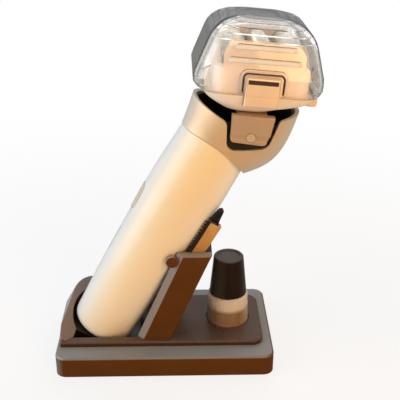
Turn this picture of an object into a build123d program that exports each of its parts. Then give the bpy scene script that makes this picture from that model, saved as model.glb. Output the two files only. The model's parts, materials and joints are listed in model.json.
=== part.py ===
from build123d import *
from math import cos, pi, radians, sin
import os

# Shaver stand with the shaver, cleaning brush and oil bottle that it holds.
# Millimetres. X runs from the shaver's heel to the oil bottle, Y to the back, Z up.
# The origin is the middle of the base's underside.

# Base
BASE_W = 110.0
BASE_D = 65.0
BASE_CORNER = 5.5
BASE_BEVEL = 0.8
PLINTH_H = 11.0
DECK_TOP = 13.6
DECK_LEFT = -53.0
DECK_RIGHT = 50.3
DECK_HALF_D = 22.6
DECK_CORNER = 6.0
DECK_BEVEL = 0.7
FOOT_R = 6.0
FOOT_T = 1.2
FOOT_X = 44.0
FOOT_Y = 22.0

# Docked shaver: lean from the vertical, foot of its axis, and grip radii along the axis
LEAN = 30.0
AXIS_FOOT = (-30.3, 0.0, 17.5)
GRIP_BOTTOM = -9.0
GRIP_TOP = 116.0
GRIP_EDGE = 5.0
GRIP_PROFILE = ((16.0, -4.0), (17.2, 20.0), (18.3, 55.0), (19.0, 82.0), (18.2, 108.0), (18.0, 116.0))
GRIP_ENDS = ((0.02, 1), (-0.03, 1))
GRIP_WALL = 2.2
SEAM = ((-24.0, 108.8), (0.0, 113.0), (24.0, 101.3))
SEAM_GAP = 0.25

# Heel pocket, seat and cup
POCKET_X = (-48.5, -13.0)
POCKET_HALF_D = 17.9
POCKET_FLOOR = 2.5
SEAT_HALF_D = 13.5
SEAT_S = -9.3
CUP_BORE_R = 17.8
CUP_U = -20.8
CUP_HALF_D = 21.0
CUP_CORNER_FAR = 14.0
CUP_CORNER_NEAR = 5.0
CUP_TRIM_U = -12.5
CUP_LEFT = -53.4
CUP_RIM_LOW = (-22.0, -13.7)
CUP_RIM_HIGH = (22.0, 5.8)
CUP_SPAN = (-20.0, 46.0)

# Backrest cheeks: side outline, place and bevels
CHEEK_FOOT_X = (-13.9, 3.0)
CHEEK_TOP_X = (6.6, 23.6)
CHEEK_TOP = 61.6
CHEEK_IN = 15.9
CHEEK_OUT = 20.1
CHEEK_FRONT_BEVEL = 2.8
CHEEK_BEVEL = 0.7
LUG_X = 4.0
LUG_Z = 58.2
LUG_R = 2.9
LUG_IN = 17.9
SPINE_T = 3.0
SCREW_R = 1.5
SCREW_HEAD_R = 2.8
SCREW_HEAD_T = 2.0
SCREW_SINK = 1.2
SCREW_TIP = 24.0
SCREW_X = (-5.8, 0.7)
SCREW_SLOT = (4.0, 0.7, 0.8)

# Oil bottle
BOTTLE_X = 33.1
BOTTLE_Y = 0.7
BOTTLE_R = (11.0, 10.4)
BOTTLE_SHOULDER = 29.4
BOTTLE_WALL = 1.1
BOTTLE_CLEAR = 0.45
BOTTLE_FOOT_EDGE = 1.0
BOTTLE_SHOULDER_EDGE = 0.8
NECK_R = 6.2
NECK_TOP = 35.0
OIL_TOP = 22.0
SPOUT_R = (2.4, 1.3)
SPOUT_TOP = 41.0
SPOUT_BORE = 0.6
SPOUT_SINK = 3.0
CAP_R = (9.7, 7.7)
CAP_BASE = 29.7
CAP_TOP = 50.6
CAP_WALL = 1.4
CAP_EDGE = 0.5
CAP_DISH = 0.7
CAP_RING = (1.4, 2.0)

# Cleaning brush, in the grip's own directions
BRUSH_U = (16.2, 22.1)
BRUSH_Y = (-15.2, -11.0)
BRUSH_S = (52.2, 78.4)
BRUSH_STRIP_U = 14.7
BRUSH_STRIP_Y = -13.4
BRUSH_EDGE = 0.5
BRUSH_SLICE = 0.8
BRUSH_SLICE_MARGIN = (0.3, 0.2)
BRISTLE_LEN = 8.0
BRISTLE_SIDE = 0.13
BRISTLE_ROWS = 20
BRISTLE_COLUMNS = 17
BRISTLE_U = (15.6, 20.0)
BRISTLE_Y = (-14.9, -11.4)
BRISTLE_DRAW_IN = 0.62
BRISTLE_SINK = 0.2
BRISTLE_CROWN = 1.1
BRISTLE_UNEVEN = 0.5
BRISTLE_WEAVE = (7, 3)
HOLDER_S = (50.0, 64.0)
HOLDER_U = (16.4, 24.4)
HOLDER_Y = -9.6

# Neck collar: sections as height, left reach, right reach and half depth, then its rim and slot
COLLAR = (
    (96.0, 18.3, 18.3, 18.3),
    (104.5, 18.3, 19.2, 18.35),
    (113.0, 18.8, 26.0, 19.0),
    (121.5, 20.3, 29.0, 20.9),
    (130.0, 21.9, 29.0, 22.3),
    (138.5, 22.9, 27.6, 22.8),
    (147.0, 23.6, 25.7, 23.0),
)
COLLAR_WALL = 1.8
RIM_S = 127.0
RIM_Z = 129.4
SLOT_X = (29.4, 48.4, 53.6)
SLOT_Z = 115.9
SLOT_CORNER = 4.0
RIM_TURN_R = 3.0
RIM_END_R = 2.0
NECK_PLUG_S = (97.0, 115.5)
NECK_SKIRT_R = 15.7
NECK_SKIRT_WALL = 2.0
NECK_SKIRT_S = (106.0, 109.0)
NECK_CLEAR = 0.15
LINER_T = 1.0
LINER_DROP = 0.8
SHIELD_PLATE_W = (-16.0, 11.0)
SHIELD_PLATE_H = (-34.0, -18.2)
SHIELD_PLATE_Y = (15.4, 16.9)
SEAL_S = (100.2, 101.8)
SEAL_R = (14.8, 16.1)

# Head, in its own directions: across the foils, along them, and up
HEAD_LEAN = 5.0
HEAD_AT = (44.0, 0.0, 145.5)
PIVOT_W = -1.7
PIVOT_H = -23.1
PIN_R = 1.5
PIN_HEAD_R = 2.0
PIN_CLEAR = 0.06
PIN_HEAD_CLEAR = 0.3
POST_Y = (11.5, 16.9)
POST_R = 3.6
POST_ROOT = 112.5
ARM_Y = (17.3, 21.3)
ARM_OUTLINE = ((-11.2, -13.1), (8.2, -13.1), (7.0, -21.6), (5.2, -26.5), (-11.0, -25.6))
ARM_GROOVE = (-24.6, -22.2)
ARM_GROOVE_DEPTH = 0.7
BRIDGE_W = (-8.0, 5.0)
BRIDGE_H = (-16.4, -13.1)
BRIDGE_HALF_Y = 20.3
ARM_CORNERS = ((2, 1.5), (3, 2.0), (4, 2.0))
STEM_W = (-5.0, 2.0)
STEM_HALF_D = 8.0
FRAME_TOP = -2.5
FRAME = (
    (-12.8, -4.0, 6.5, 13.5, 5.0),
    (-11.6, -4.0, 11.5, 17.5, 8.0),
    (-8.8, -2.2, 17.6, 21.6, 10.0),
    (-5.6, 0.3, 24.4, 24.4, 12.0),
    (-2.5, 0.0, 26.2, 25.4, 12.5),
)
PIT = (-15.0, 3.0, 12.0, -10.9)
TRAY = (-20.5, 18.5, 18.5, -6.2)
DECK_HALF_W = 20.3
DECK_HALF_Y = 19.8
DECK_T = 1.2
FIT = 0.1

# Foils, blades and their drive
FOIL_W = (-12.4, 12.4)
FOIL_R = 5.6
FOIL_T = 0.35
FOIL_AXIS_H = 13.8
FOIL_HALF_Y = 20.3
BLADE_R = 4.95
BLADE_T = 0.8
BLADE_HALF_Y = 17.6
BLADE_SLITS = 14
BLADE_SLIT = 1.0
BLADE_SLIT_DROP = 0.3
CARRIER_DROP = 0.5
BLADE_SKIRT = 2.0
COMB_SLOTS = 18
COMB_SLOT = (6.0, 0.9)
COMB_END = 1.2
COMB_SLOT_H = 1.0
CASSETTE_HALF_W = 21.5
CASSETTE_HALF_Y = 22.3
CASSETTE_CORNER = 6.0
CASSETTE_BEVEL = 1.2
CASSETTE_WALL = 1.6
CASSETTE_DECK = (8.0, 9.6)
CASSETTE_TOP = 19.8
END_HALF_W = 17.8
END_CORNER = 6.0
DRIVE_TRAVEL = 1.2
DRIVE_PIN_R = 1.4
MOVER_H = (-5.0, -4.2)
MAGNET_T = 1.0
CORE_W = (-13.5, 1.5)
CORE_H = (-10.5, -9.0, -6.6)
CORE_HALF_Y = 10.0
CORE_POST = (6.0, 10.0)
COIL_SIZE = (13.0, 17.0, 3.0)
COIL_HOLE = (6.4, 10.4)
MOVER_SIZE = (29.0, 15.0, 3.0)
MAGNET_SIZE = (10.0, 12.0)
DRIVE_SLOT_GAP = 0.5

# Protective cap: sections as height, centre, half width, half depth and corner radius
CAP_SECTIONS = (
    (-2.4, -0.4, 26.4, 25.6, 9.0),
    (-1.4, -0.7, 27.6, 26.3, 9.2),
    (0.6, -1.1, 28.9, 26.9, 9.5),
    (3.2, -1.3, 29.1, 27.1, 9.5),
    (6.0, -1.1, 28.6, 27.0, 9.5),
    (19.0, -1.1, 24.4, 25.2, 8.5),
    (21.4, -1.1, 23.4, 24.5, 8.5),
    (23.8, -1.1, 21.7, 23.0, 8.5),
    (26.0, -1.1, 19.3, 20.6, 8.5),
    (27.6, -1.1, 16.2, 17.4, 8.0),
    (28.6, -1.1, 12.2, 13.6, 7.0),
    (28.9, -1.1, 8.0, 9.6, 5.0),
)
SHIELD_WALL = 1.7
NOTCH_HALF_W = 9.3
NOTCH_FOOT = -0.8
NOTCH_TOP = 8.6
NOTCH_CORNER = 2.5
NOTCH_RIM = 1.3
NOTCH_RIM_Y = (25.6, 28.0)
NOTCH_DEPTH = 18.0
RIB_H = (13.4, 18.9)
RIB_HALF_W = (15.4, 13.0)
RIB_Y = (26.7, 25.8)
RIB_T = 2.2
RIB_END_R = 1.0
RIB_PROUD = 0.5
RIB_SINK = 2.0

# Release buttons
KEY_HALF_W = 7.5
KEY_H = (-6.8, 6.3)
KEY_Y = (24.4, 27.9)
KEY_TRAVEL = 1.2
KEY_GAP = 0.35
KEY_STEM_R = 1.2
KEY_STEM_H = -5.3
KEY_STEM_IN = 20.2
KEY_SLOT_H = (3.3, 5.3)
KEY_SLOT_DEPTH = 1.5
KEY_SLOT_END = 0.9
KEY_EDGE = 0.7
KEY_LINE_H = (-2.4, -2.0)
KEY_LINE_DEPTH = 0.4
KEY_STEM_ROOT = 0.5

# Flip-out trimmer at the back of the head
TRIM_W = (21.6, 27.0)
TRIM_H = (-8.4, -3.2)
TRIM_EDGE = 1.4
TRIM_SWING_EDGE = 1.5
TRIM_SWING_GAP = 0.4
TRIM_HALF_Y = 14.0
TRIM_PIN_R = 0.8
TRIM_TEETH = 15
TRIM_PITCH = 1.7
TRIM_BLADE_T = 0.5
TRIM_BLADE_LOW = -5.8
TRIM_TOOTH_H = 1.3
TRIM_TOOTH_GAP = 0.7
TRIM_ROOM_W = 1.0
TRIM_ROOM_END = 0.8
TRIM_STUB = 1.6
TRIM_PIN_HOLE = 2.0
CUTTER_TRAVEL = 0.9
CUTTER_DROP = 0.2

# Inside the grip
BATTERY_R = 7.0
BATTERY_U = 6.2
BATTERY_S = (4.0, 54.0)
BATTERY_TIP = (2.3, 1.0)
BOARD_U = (-6.4, -5.2)
BOARD_S = (18.0, 90.0)
BOARD_HALF_Y = 9.5
SPACER_HALF = 1.5
SPACER_Y = 7.5
SPACER_S = (21.0, 87.0)
CHASSIS_U = (-3.9, -2.3)
CHASSIS_HALF_Y = 12.6
CHASSIS_S = (1.0, 94.0)
CHASSIS_RINGS = ((1.0, 13.3), (58.0, 15.6), (92.0, 16.0))
RING_T = 2.0
BUTTON_S = 68.0
BUTTON_SIZE = (9.0, 15.0, 4.0)
BUTTON_GAP = 0.2
BUTTON_PROUD = 0.3
BUTTON_FLANGE = (-15.4, -14.4)
BUTTON_RIM = 0.8
BUTTON_STEM_END = -11.2
STEM_HALF = 1.5
SWITCH_END = -10.2
SWITCH_BODY_U = -9.0
SWITCH_HALF = 3.0
LENS_S = 42.0
LENS_SIZE = (4.6, 15.0, 2.2)
LENS_DEPTH = 1.2
LENS_BACK = -12.0
HOLE_BACK = -5.0
SOCKET_SIZE = (9.0, 5.0, 2.4)
SOCKET_LEN = 8.0
SOCKET_WALL = 0.8
SOCKET_BASE = 2.0
SOCKET_PIN_R = 0.6
SOCKET_PIN_Y = 2.2
SOCKET_PIN_SINK = 1.5

# Planes: the grip's axis and side view, and the head's axis and side view
LEAN_SIN = sin(radians(LEAN))
LEAN_COS = cos(radians(LEAN))
HEAD_SIN = sin(radians(HEAD_LEAN))
HEAD_COS = cos(radians(HEAD_LEAN))
GRIP = Plane(origin=AXIS_FOOT, x_dir=(LEAN_COS, 0, -LEAN_SIN), z_dir=(LEAN_SIN, 0, LEAN_COS))
GRIP_SIDE = Plane(origin=AXIS_FOOT, x_dir=(LEAN_COS, 0, -LEAN_SIN), z_dir=(0, -1, 0))
GRIP_AXIS = Axis(AXIS_FOOT, (LEAN_SIN, 0, LEAN_COS))
HEAD = Plane(origin=HEAD_AT, x_dir=(HEAD_COS, 0, -HEAD_SIN), z_dir=(HEAD_SIN, 0, HEAD_COS))
HEAD_SIDE = Plane(origin=HEAD_AT, x_dir=(HEAD_COS, 0, -HEAD_SIN), z_dir=(0, -1, 0))
SIDE = Plane.XZ
FAR = 120.0
OVER = 1.0
UPRIGHT = (Align.CENTER, Align.CENTER, Align.MIN)

os.makedirs("parts", exist_ok=True)


def save(piece, name):
    """Label one finished piece and write it as its own file."""
    piece.label = name
    export_step(piece, f"parts/{name}.step")


def block(plane, first, second, third):
    """Closed box between low and high values along the plane's three directions."""
    with BuildPart(mode=Mode.PRIVATE) as body:
        with BuildSketch(plane.offset(third[0])):
            with Locations(((first[0] + first[1]) / 2, (second[0] + second[1]) / 2)):
                Rectangle(first[1] - first[0], second[1] - second[0])
        extrude(amount=third[1] - third[0])
    return body.part


def slab(plane, points, near, far, corners=()):
    """Outline extruded against the plane's direction from near to far, with chosen corners rounded."""
    with BuildPart(mode=Mode.PRIVATE) as body:
        with BuildSketch(plane.offset(-far)) as outline:
            with BuildLine():
                Polyline(*points, close=True)
            make_face()
            for index, radius in corners:
                spot = Vector(*points[index])
                vertex = outline.vertices().sort_by(lambda v: (Vector(v.X, v.Y) - spot).length)[0]
                fillet(vertex, radius)
        extrude(amount=far - near)
    return body.part


def rod(plane, centre, radius, span):
    """Round bar square to the plane, between two heights above it."""
    with BuildPart(mode=Mode.PRIVATE) as body:
        with BuildSketch(plane.offset(span[0])):
            with Locations(centre):
                Circle(radius)
        extrude(amount=span[1] - span[0])
    return body.part


def cross_rod(plane, centre, radius, near, far):
    """Round bar along Y in a side view, from y = near to y = far."""
    return rod(plane, centre, radius, (-far, -near))


def bowl(plane, sections, grow=0.0, ruled=False):
    """Solid lofted through rounded rectangles: height, centre, half width, half depth, corner."""
    with BuildPart(mode=Mode.PRIVATE) as body:
        for height, centre, half_w, half_d, corner in sections:
            with BuildSketch(plane.offset(height)):
                with Locations((centre, 0)):
                    RectangleRounded(2 * (half_w + grow), 2 * (half_d + grow), corner + grow)
        loft(ruled=ruled)
    return body.part


def grip_form(inset=0.0, bottom=GRIP_BOTTOM):
    """Solid of the grip's outline, drawn in by the inset, up to its open top."""
    half_way = sin(pi / 4)
    with BuildPart(mode=Mode.PRIVATE) as body:
        with BuildSketch(GRIP_SIDE):
            with BuildLine():
                points = [(r - inset, s) for r, s in GRIP_PROFILE]
                flat = points[0][0] - GRIP_EDGE + inset / 2
                drop = points[0][1] - bottom
                turn = (flat + (points[0][0] - flat) * half_way, points[0][1] - drop * half_way)
                Line((0, bottom), (flat, bottom))
                ThreePointArc((flat, bottom), turn, points[0])
                Spline(*points, tangents=GRIP_ENDS)
                Line(points[-1], (0, GRIP_TOP))
                Line((0, GRIP_TOP), (0, bottom))
            make_face()
        revolve(axis=GRIP_AXIS)
    return body.part


def collar_form(inset):
    """Solid of the neck collar's outer skin, drawn in by the inset."""
    with BuildPart(mode=Mode.PRIVATE) as body:
        for height, left, right, half_d in COLLAR:
            with BuildSketch(GRIP.offset(height)):
                with Locations(((right - left) / 2, 0)):
                    Ellipse((left + right) / 2 - inset, half_d - inset)
        loft()
    return body.part


def seam_half(above, shift):
    """Everything above or below the curved seam between the grip and the collar."""
    ends = [(u, s + shift) for u, s in SEAM]
    limit = 2 * FAR if above else -FAR
    with BuildPart(mode=Mode.PRIVATE) as body:
        with BuildSketch(GRIP_SIDE):
            with BuildLine():
                ThreePointArc(*ends)
                Line(ends[2], (FAR, ends[2][1]))
                Line((FAR, ends[2][1]), (FAR, limit))
                Line((FAR, limit), (-FAR, limit))
                Line((-FAR, limit), (-FAR, ends[0][1]))
                Line((-FAR, ends[0][1]), ends[0])
            make_face()
        extrude(amount=FAR / 2, both=True)
    return body.part


def front_plug(size, station, reach, inner):
    """Rounded key on the grip's front, from the inner face out to the given reach."""
    plane = Plane(origin=GRIP.from_local_coords((0, 0, station)), x_dir=(0, 1, 0), z_dir=-GRIP.x_dir)
    with BuildPart(mode=Mode.PRIVATE) as body:
        with BuildSketch(plane.offset(-inner)):
            RectangleRounded(size[0], size[1], size[2])
        extrude(amount=reach + inner)
    return body.part


# Pieces of the base

pocket = block(Plane.XY, POCKET_X, (-POCKET_HALF_D, POCKET_HALF_D), (POCKET_FLOOR, DECK_TOP + OVER))
screw_spots = [(x, side * (CHEEK_IN + CHEEK_OUT) / 2) for x in SCREW_X for side in (-1, 1)]
foot_spots = [(x * FOOT_X, y * FOOT_Y) for x in (-1, 1) for y in (-1, 1)]

with BuildPart() as base_plinth:
    with BuildSketch():
        RectangleRounded(BASE_W, BASE_D, BASE_CORNER)
    extrude(amount=PLINTH_H)
    chamfer(base_plinth.faces().sort_by(Axis.Z)[-1].edges(), BASE_BEVEL)
    add(pocket, mode=Mode.SUBTRACT)
    with Locations(*foot_spots):
        Cylinder(FOOT_R, FOOT_T, align=UPRIGHT, mode=Mode.SUBTRACT)
    with Locations(*screw_spots):
        Cylinder(SCREW_R + FIT, PLINTH_H, align=UPRIGHT, mode=Mode.SUBTRACT)
        Cylinder(SCREW_HEAD_R + FIT, SCREW_SINK + SCREW_HEAD_T, align=UPRIGHT, mode=Mode.SUBTRACT)
save(base_plinth.part, "base_plinth")

with BuildPart() as anti_slip_feet:
    with Locations(*foot_spots):
        Cylinder(FOOT_R - FIT, FOOT_T, align=UPRIGHT)
save(anti_slip_feet.part, "anti_slip_feet")

with BuildPart() as deck_plate:
    with BuildSketch(Plane.XY.offset(PLINTH_H)) as deck_outline:
        with Locations(((DECK_LEFT + DECK_RIGHT) / 2, 0)):
            Rectangle(DECK_RIGHT - DECK_LEFT, 2 * DECK_HALF_D)
        fillet(deck_outline.vertices().group_by(Axis.X)[-1], DECK_CORNER)
    extrude(amount=DECK_TOP - PLINTH_H)
    chamfer(deck_plate.faces().sort_by(Axis.Z)[-1].edges(), DECK_BEVEL)
    add(pocket, mode=Mode.SUBTRACT)
    with Locations((BOTTLE_X, BOTTLE_Y, PLINTH_H)):
        Cylinder(BOTTLE_R[0] + BOTTLE_CLEAR, DECK_TOP - PLINTH_H, align=UPRIGHT, mode=Mode.SUBTRACT)
    with Locations(*[(x, y, PLINTH_H) for x, y in screw_spots]):
        Cylinder(SCREW_R + FIT, DECK_TOP - PLINTH_H, align=UPRIGHT, mode=Mode.SUBTRACT)
save(deck_plate.part, "deck_plate")

# Seat: a ramp square to the shaver's axis, under its heel
seat_left = POCKET_X[0] + FIT
seat_line = [
    (seat_left, AXIS_FOOT[2] + (SEAT_S - LEAN_SIN * (seat_left - AXIS_FOOT[0])) / LEAN_COS),
    (AXIS_FOOT[0] + (SEAT_S - LEAN_COS * (POCKET_FLOOR - AXIS_FOOT[2])) / LEAN_SIN, POCKET_FLOOR),
]
with BuildPart() as seat_wedge:
    add(slab(SIDE, [(seat_left, POCKET_FLOOR), *reversed(seat_line)], -SEAT_HALF_D, SEAT_HALF_D))
    add(rod(GRIP, (0, 0), CUP_BORE_R - FIT, (-FAR, FAR)), mode=Mode.INTERSECT)
save(seat_wedge.part, "seat_wedge")

# Heel cup: a bored wall round the heel, its rim falling to the front corner of the deck
cup_points = [(CUP_U, -CUP_HALF_D), (-CUP_U, -CUP_HALF_D), (-CUP_U, CUP_HALF_D), (CUP_U, CUP_HALF_D)]
cup_corners = ((0, CUP_CORNER_NEAR), (3, CUP_CORNER_FAR))
with BuildPart() as heel_cup:
    add(slab(GRIP, cup_points, -CUP_SPAN[1], -CUP_SPAN[0], cup_corners))
    add(block(GRIP, (CUP_TRIM_U, FAR), (-FAR, FAR), (-FAR, FAR)), mode=Mode.SUBTRACT)
    add(rod(GRIP, (0, 0), CUP_BORE_R, (-FAR, FAR)), mode=Mode.SUBTRACT)
    add(block(Plane.XY, (-FAR, CUP_LEFT), (-FAR, FAR), (-FAR, FAR)), mode=Mode.SUBTRACT)
    add(block(Plane.XY, (-FAR, FAR), (-FAR, FAR), (-FAR, DECK_TOP)), mode=Mode.SUBTRACT)
    with BuildSketch(Plane(origin=AXIS_FOOT, x_dir=(0, 1, 0), z_dir=GRIP.x_dir)):
        with BuildLine():
            Polyline(CUP_RIM_LOW, CUP_RIM_HIGH, (CUP_RIM_HIGH[0], FAR), (CUP_RIM_LOW[0], FAR), close=True)
        make_face()
    extrude(amount=FAR, both=True, mode=Mode.SUBTRACT)
save(heel_cup.part, "heel_cup")

# Backrest: two cheeks, and the spine plate with the brush pocket between them
cheek_outline = [
    (CHEEK_FOOT_X[0], DECK_TOP),
    (CHEEK_FOOT_X[1], DECK_TOP),
    (CHEEK_TOP_X[1], CHEEK_TOP),
    (CHEEK_TOP_X[0], CHEEK_TOP),
]


def leaning_edges(body, side):
    """Edges of a cheek's outer face that leave the deck, the front one first."""
    outer = body.faces().sort_by(Axis.Y)[0 if side < 0 else -1]
    above = [edge for edge in outer.edges() if edge.center().Z > DECK_TOP + OVER]
    return sorted(above, key=lambda edge: edge.center().X)


def cheek(side):
    """Leaning side panel with its retaining lug; side is -1 at the front, 1 at the back."""
    low, high = sorted((side * CHEEK_IN, side * CHEEK_OUT))
    lug_low, lug_high = sorted((side * LUG_IN, side * CHEEK_OUT))
    lug = cross_rod(SIDE, (LUG_X, LUG_Z), LUG_R, lug_low, lug_high)
    with BuildPart(mode=Mode.PRIVATE) as body:
        add(slab(SIDE, cheek_outline, low, high))
        chamfer(leaning_edges(body, side)[1:], CHEEK_BEVEL)
        chamfer(leaning_edges(body, side)[0], CHEEK_FRONT_BEVEL)
        add(lug)
        with Locations(*[(x, side * (CHEEK_IN + CHEEK_OUT) / 2, DECK_TOP) for x in SCREW_X]):
            Cylinder(SCREW_R, SCREW_TIP - DECK_TOP, align=UPRIGHT, mode=Mode.SUBTRACT)
    return body.part


save(cheek(-1), "cheek_near")
save(cheek(1), "cheek_far")

spine_outline = [
    (CHEEK_FOOT_X[1] - SPINE_T, DECK_TOP),
    (CHEEK_FOOT_X[1], DECK_TOP),
    (CHEEK_TOP_X[1], CHEEK_TOP),
    (CHEEK_TOP_X[1] - SPINE_T, CHEEK_TOP),
]
holder = block(GRIP, HOLDER_U, (-CHEEK_IN, HOLDER_Y), HOLDER_S)
brush_room = block(GRIP, (-FAR, BRUSH_U[1] + FIT), (-FAR, BRUSH_Y[1] + FIT), (BRUSH_S[0], FAR))
with BuildPart() as spine_plate:
    add(slab(SIDE, spine_outline, -CHEEK_IN, CHEEK_IN))
    add(holder)
    add(brush_room, mode=Mode.SUBTRACT)
    add(block(Plane.XY, (-FAR, FAR), (-FAR, FAR), (CHEEK_TOP, FAR)), mode=Mode.SUBTRACT)
save(spine_plate.part, "spine_plate")

with BuildPart() as backrest_screws:
    with Locations(*[(x, y, SCREW_SINK) for x, y in screw_spots]):
        Cylinder(SCREW_HEAD_R, SCREW_HEAD_T, align=UPRIGHT)
        Cylinder(SCREW_R, SCREW_TIP - SCREW_SINK, align=UPRIGHT)
        Box(*SCREW_SLOT, align=UPRIGHT, mode=Mode.SUBTRACT)
save(backrest_screws.part, "backrest_screws")

# Oil bottle with its oil, spout and cap

def turned(points, at):
    """Round piece turned from a closed outline of radius and height, on a vertical axis."""
    plane = Plane(origin=(at[0], at[1], 0), x_dir=(1, 0, 0), z_dir=(0, -1, 0))
    with BuildPart(mode=Mode.PRIVATE) as body:
        with BuildSketch(plane):
            with BuildLine():
                Polyline(*points, close=True)
            make_face()
        revolve(axis=Axis((at[0], at[1], 0), (0, 0, 1)))
    return body.part


bottle_at = (BOTTLE_X, BOTTLE_Y)
bottle_floor = PLINTH_H + BOTTLE_WALL
bottle_outline = [
    (0, PLINTH_H),
    (BOTTLE_R[0] - BOTTLE_FOOT_EDGE, PLINTH_H),
    (BOTTLE_R[0], PLINTH_H + BOTTLE_FOOT_EDGE),
    (BOTTLE_R[1], BOTTLE_SHOULDER - BOTTLE_SHOULDER_EDGE),
    (BOTTLE_R[1] - BOTTLE_SHOULDER_EDGE, BOTTLE_SHOULDER),
    (NECK_R, BOTTLE_SHOULDER),
    (NECK_R, NECK_TOP),
    (NECK_R - BOTTLE_WALL, NECK_TOP),
    (NECK_R - BOTTLE_WALL, BOTTLE_SHOULDER - BOTTLE_WALL),
    (BOTTLE_R[1] - BOTTLE_WALL, BOTTLE_SHOULDER - BOTTLE_WALL),
    (BOTTLE_R[0] - BOTTLE_WALL, bottle_floor),
    (0, bottle_floor),
]
save(turned(bottle_outline, bottle_at), "oil_bottle")
oil_rise = (OIL_TOP - bottle_floor) / (BOTTLE_SHOULDER - BOTTLE_WALL - bottle_floor)
oil_r = BOTTLE_R[0] - BOTTLE_WALL + (BOTTLE_R[1] - BOTTLE_R[0]) * oil_rise
oil_foot_r = BOTTLE_R[0] - BOTTLE_WALL
oil_outline = [(0, bottle_floor), (oil_foot_r, bottle_floor), (oil_r, OIL_TOP), (0, OIL_TOP)]
save(turned(oil_outline, bottle_at), "oil_fill")
spout_base = NECK_TOP - SPOUT_SINK
spout_outline = [
    (SPOUT_BORE, spout_base),
    (NECK_R - BOTTLE_WALL, spout_base),
    (NECK_R - BOTTLE_WALL, NECK_TOP),
    (SPOUT_R[0], NECK_TOP),
    (SPOUT_R[1], SPOUT_TOP),
    (SPOUT_BORE, SPOUT_TOP),
]
save(turned(spout_outline, bottle_at), "spout_plug")
cap_outline = [
    (CAP_R[0], CAP_BASE),
    (CAP_R[1], CAP_TOP - CAP_EDGE),
    (CAP_R[1] - CAP_EDGE, CAP_TOP),
    (CAP_R[1] - CAP_RING[0], CAP_TOP),
    (CAP_R[1] - CAP_RING[1], CAP_TOP - CAP_DISH),
    (0, CAP_TOP - CAP_DISH),
    (0, CAP_TOP - CAP_DISH - CAP_WALL),
    (CAP_R[1] - CAP_WALL, CAP_TOP - CAP_DISH - CAP_WALL),
    (CAP_R[0] - CAP_WALL, CAP_BASE),
]
save(turned(cap_outline, bottle_at), "bottle_cap")

# Cleaning brush: clear block, dark strip and bristles

strip = block(GRIP, (BRUSH_STRIP_U, BRUSH_U[0]), (BRUSH_Y[0], BRUSH_STRIP_Y), BRUSH_S)
with BuildPart() as brush_handle:
    add(block(GRIP, BRUSH_U, BRUSH_Y, BRUSH_S))
    fillet(brush_handle.edges().filter_by(GRIP_AXIS), BRUSH_EDGE)
save(brush_handle.part, "brush_handle")
save(strip, "brush_strip")

slice_low = BRUSH_S[1]
bristle_base = slice_low + BRUSH_SLICE - BRISTLE_SINK
bristle_middle = ((BRISTLE_U[0] + BRISTLE_U[1]) / 2, (BRISTLE_Y[0] + BRISTLE_Y[1]) / 2)
strands = []
for row in range(BRISTLE_ROWS):
    for column in range(BRISTLE_COLUMNS):
        across = (2 * row + 1 - BRISTLE_ROWS) / (2 * BRISTLE_ROWS)
        along = (2 * column + 1 - BRISTLE_COLUMNS) / (2 * BRISTLE_COLUMNS)
        root = (
            bristle_middle[0] + across * (BRISTLE_U[1] - BRISTLE_U[0]),
            bristle_middle[1] + along * (BRISTLE_Y[1] - BRISTLE_Y[0]),
        )
        unevenness = sin(BRISTLE_WEAVE[0] * row + BRISTLE_WEAVE[1] * column)
        length = BRISTLE_LEN - BRISTLE_CROWN * (2 * across) ** 2 - BRISTLE_UNEVEN * unevenness
        lean = (
            (BRISTLE_DRAW_IN - 1) * across * (BRISTLE_U[1] - BRISTLE_U[0]),
            (BRISTLE_DRAW_IN - 1) * along * (BRISTLE_Y[1] - BRISTLE_Y[0]),
            BRISTLE_LEN,
        )
        side = BRISTLE_SIDE / 2
        corners = [
            GRIP.from_local_coords((root[0] + a * side, root[1] + b * side, bristle_base))
            for a, b in ((-1, -1), (1, -1), (1, 1), (-1, 1))
        ]
        foot = Face(Wire.make_polygon(corners))
        reach = GRIP.from_local_coords((*[root[i] + lean[i] for i in (0, 1)], bristle_base + lean[2]))
        reach = (reach - GRIP.from_local_coords((*root, bristle_base))) * (length / BRISTLE_LEN)
        strands.append(Solid.extrude(foot, reach))
slice_u = (BRISTLE_U[0] - BRUSH_SLICE_MARGIN[0], BRISTLE_U[1] + BRUSH_SLICE_MARGIN[0])
slice_y = (BRISTLE_Y[0] - BRUSH_SLICE_MARGIN[1], BRISTLE_Y[1] + BRUSH_SLICE_MARGIN[1])
backing = block(GRIP, slice_u, slice_y, (slice_low, slice_low + BRUSH_SLICE))
brush_bristles = backing.fuse(*strands)
save(brush_bristles, "brush_bristles")

# Grip shell, with its front button, indicator window and heel socket openings

outer_form = grip_form()
inner_form = grip_form(GRIP_WALL, GRIP_BOTTOM + GRIP_WALL)
above_seam = seam_half(True, 0)
below_seam = seam_half(False, SEAM_GAP)
with BuildPart() as grip_shell:
    add(outer_form)
    add(inner_form, mode=Mode.SUBTRACT)
    add(above_seam, mode=Mode.SUBTRACT)
    button_hole = [size + 2 * BUTTON_GAP for size in BUTTON_SIZE]
    add(front_plug(button_hole, BUTTON_S, FAR, HOLE_BACK), mode=Mode.SUBTRACT)
    add(front_plug(LENS_SIZE, LENS_S, FAR, HOLE_BACK), mode=Mode.SUBTRACT)
    with BuildSketch(GRIP.offset(GRIP_BOTTOM - OVER)):
        RectangleRounded(SOCKET_SIZE[1], SOCKET_SIZE[0], SOCKET_SIZE[2])
    extrude(amount=GRIP_WALL + 2 * OVER, mode=Mode.SUBTRACT)
save(grip_shell.part, "grip_shell")

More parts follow.
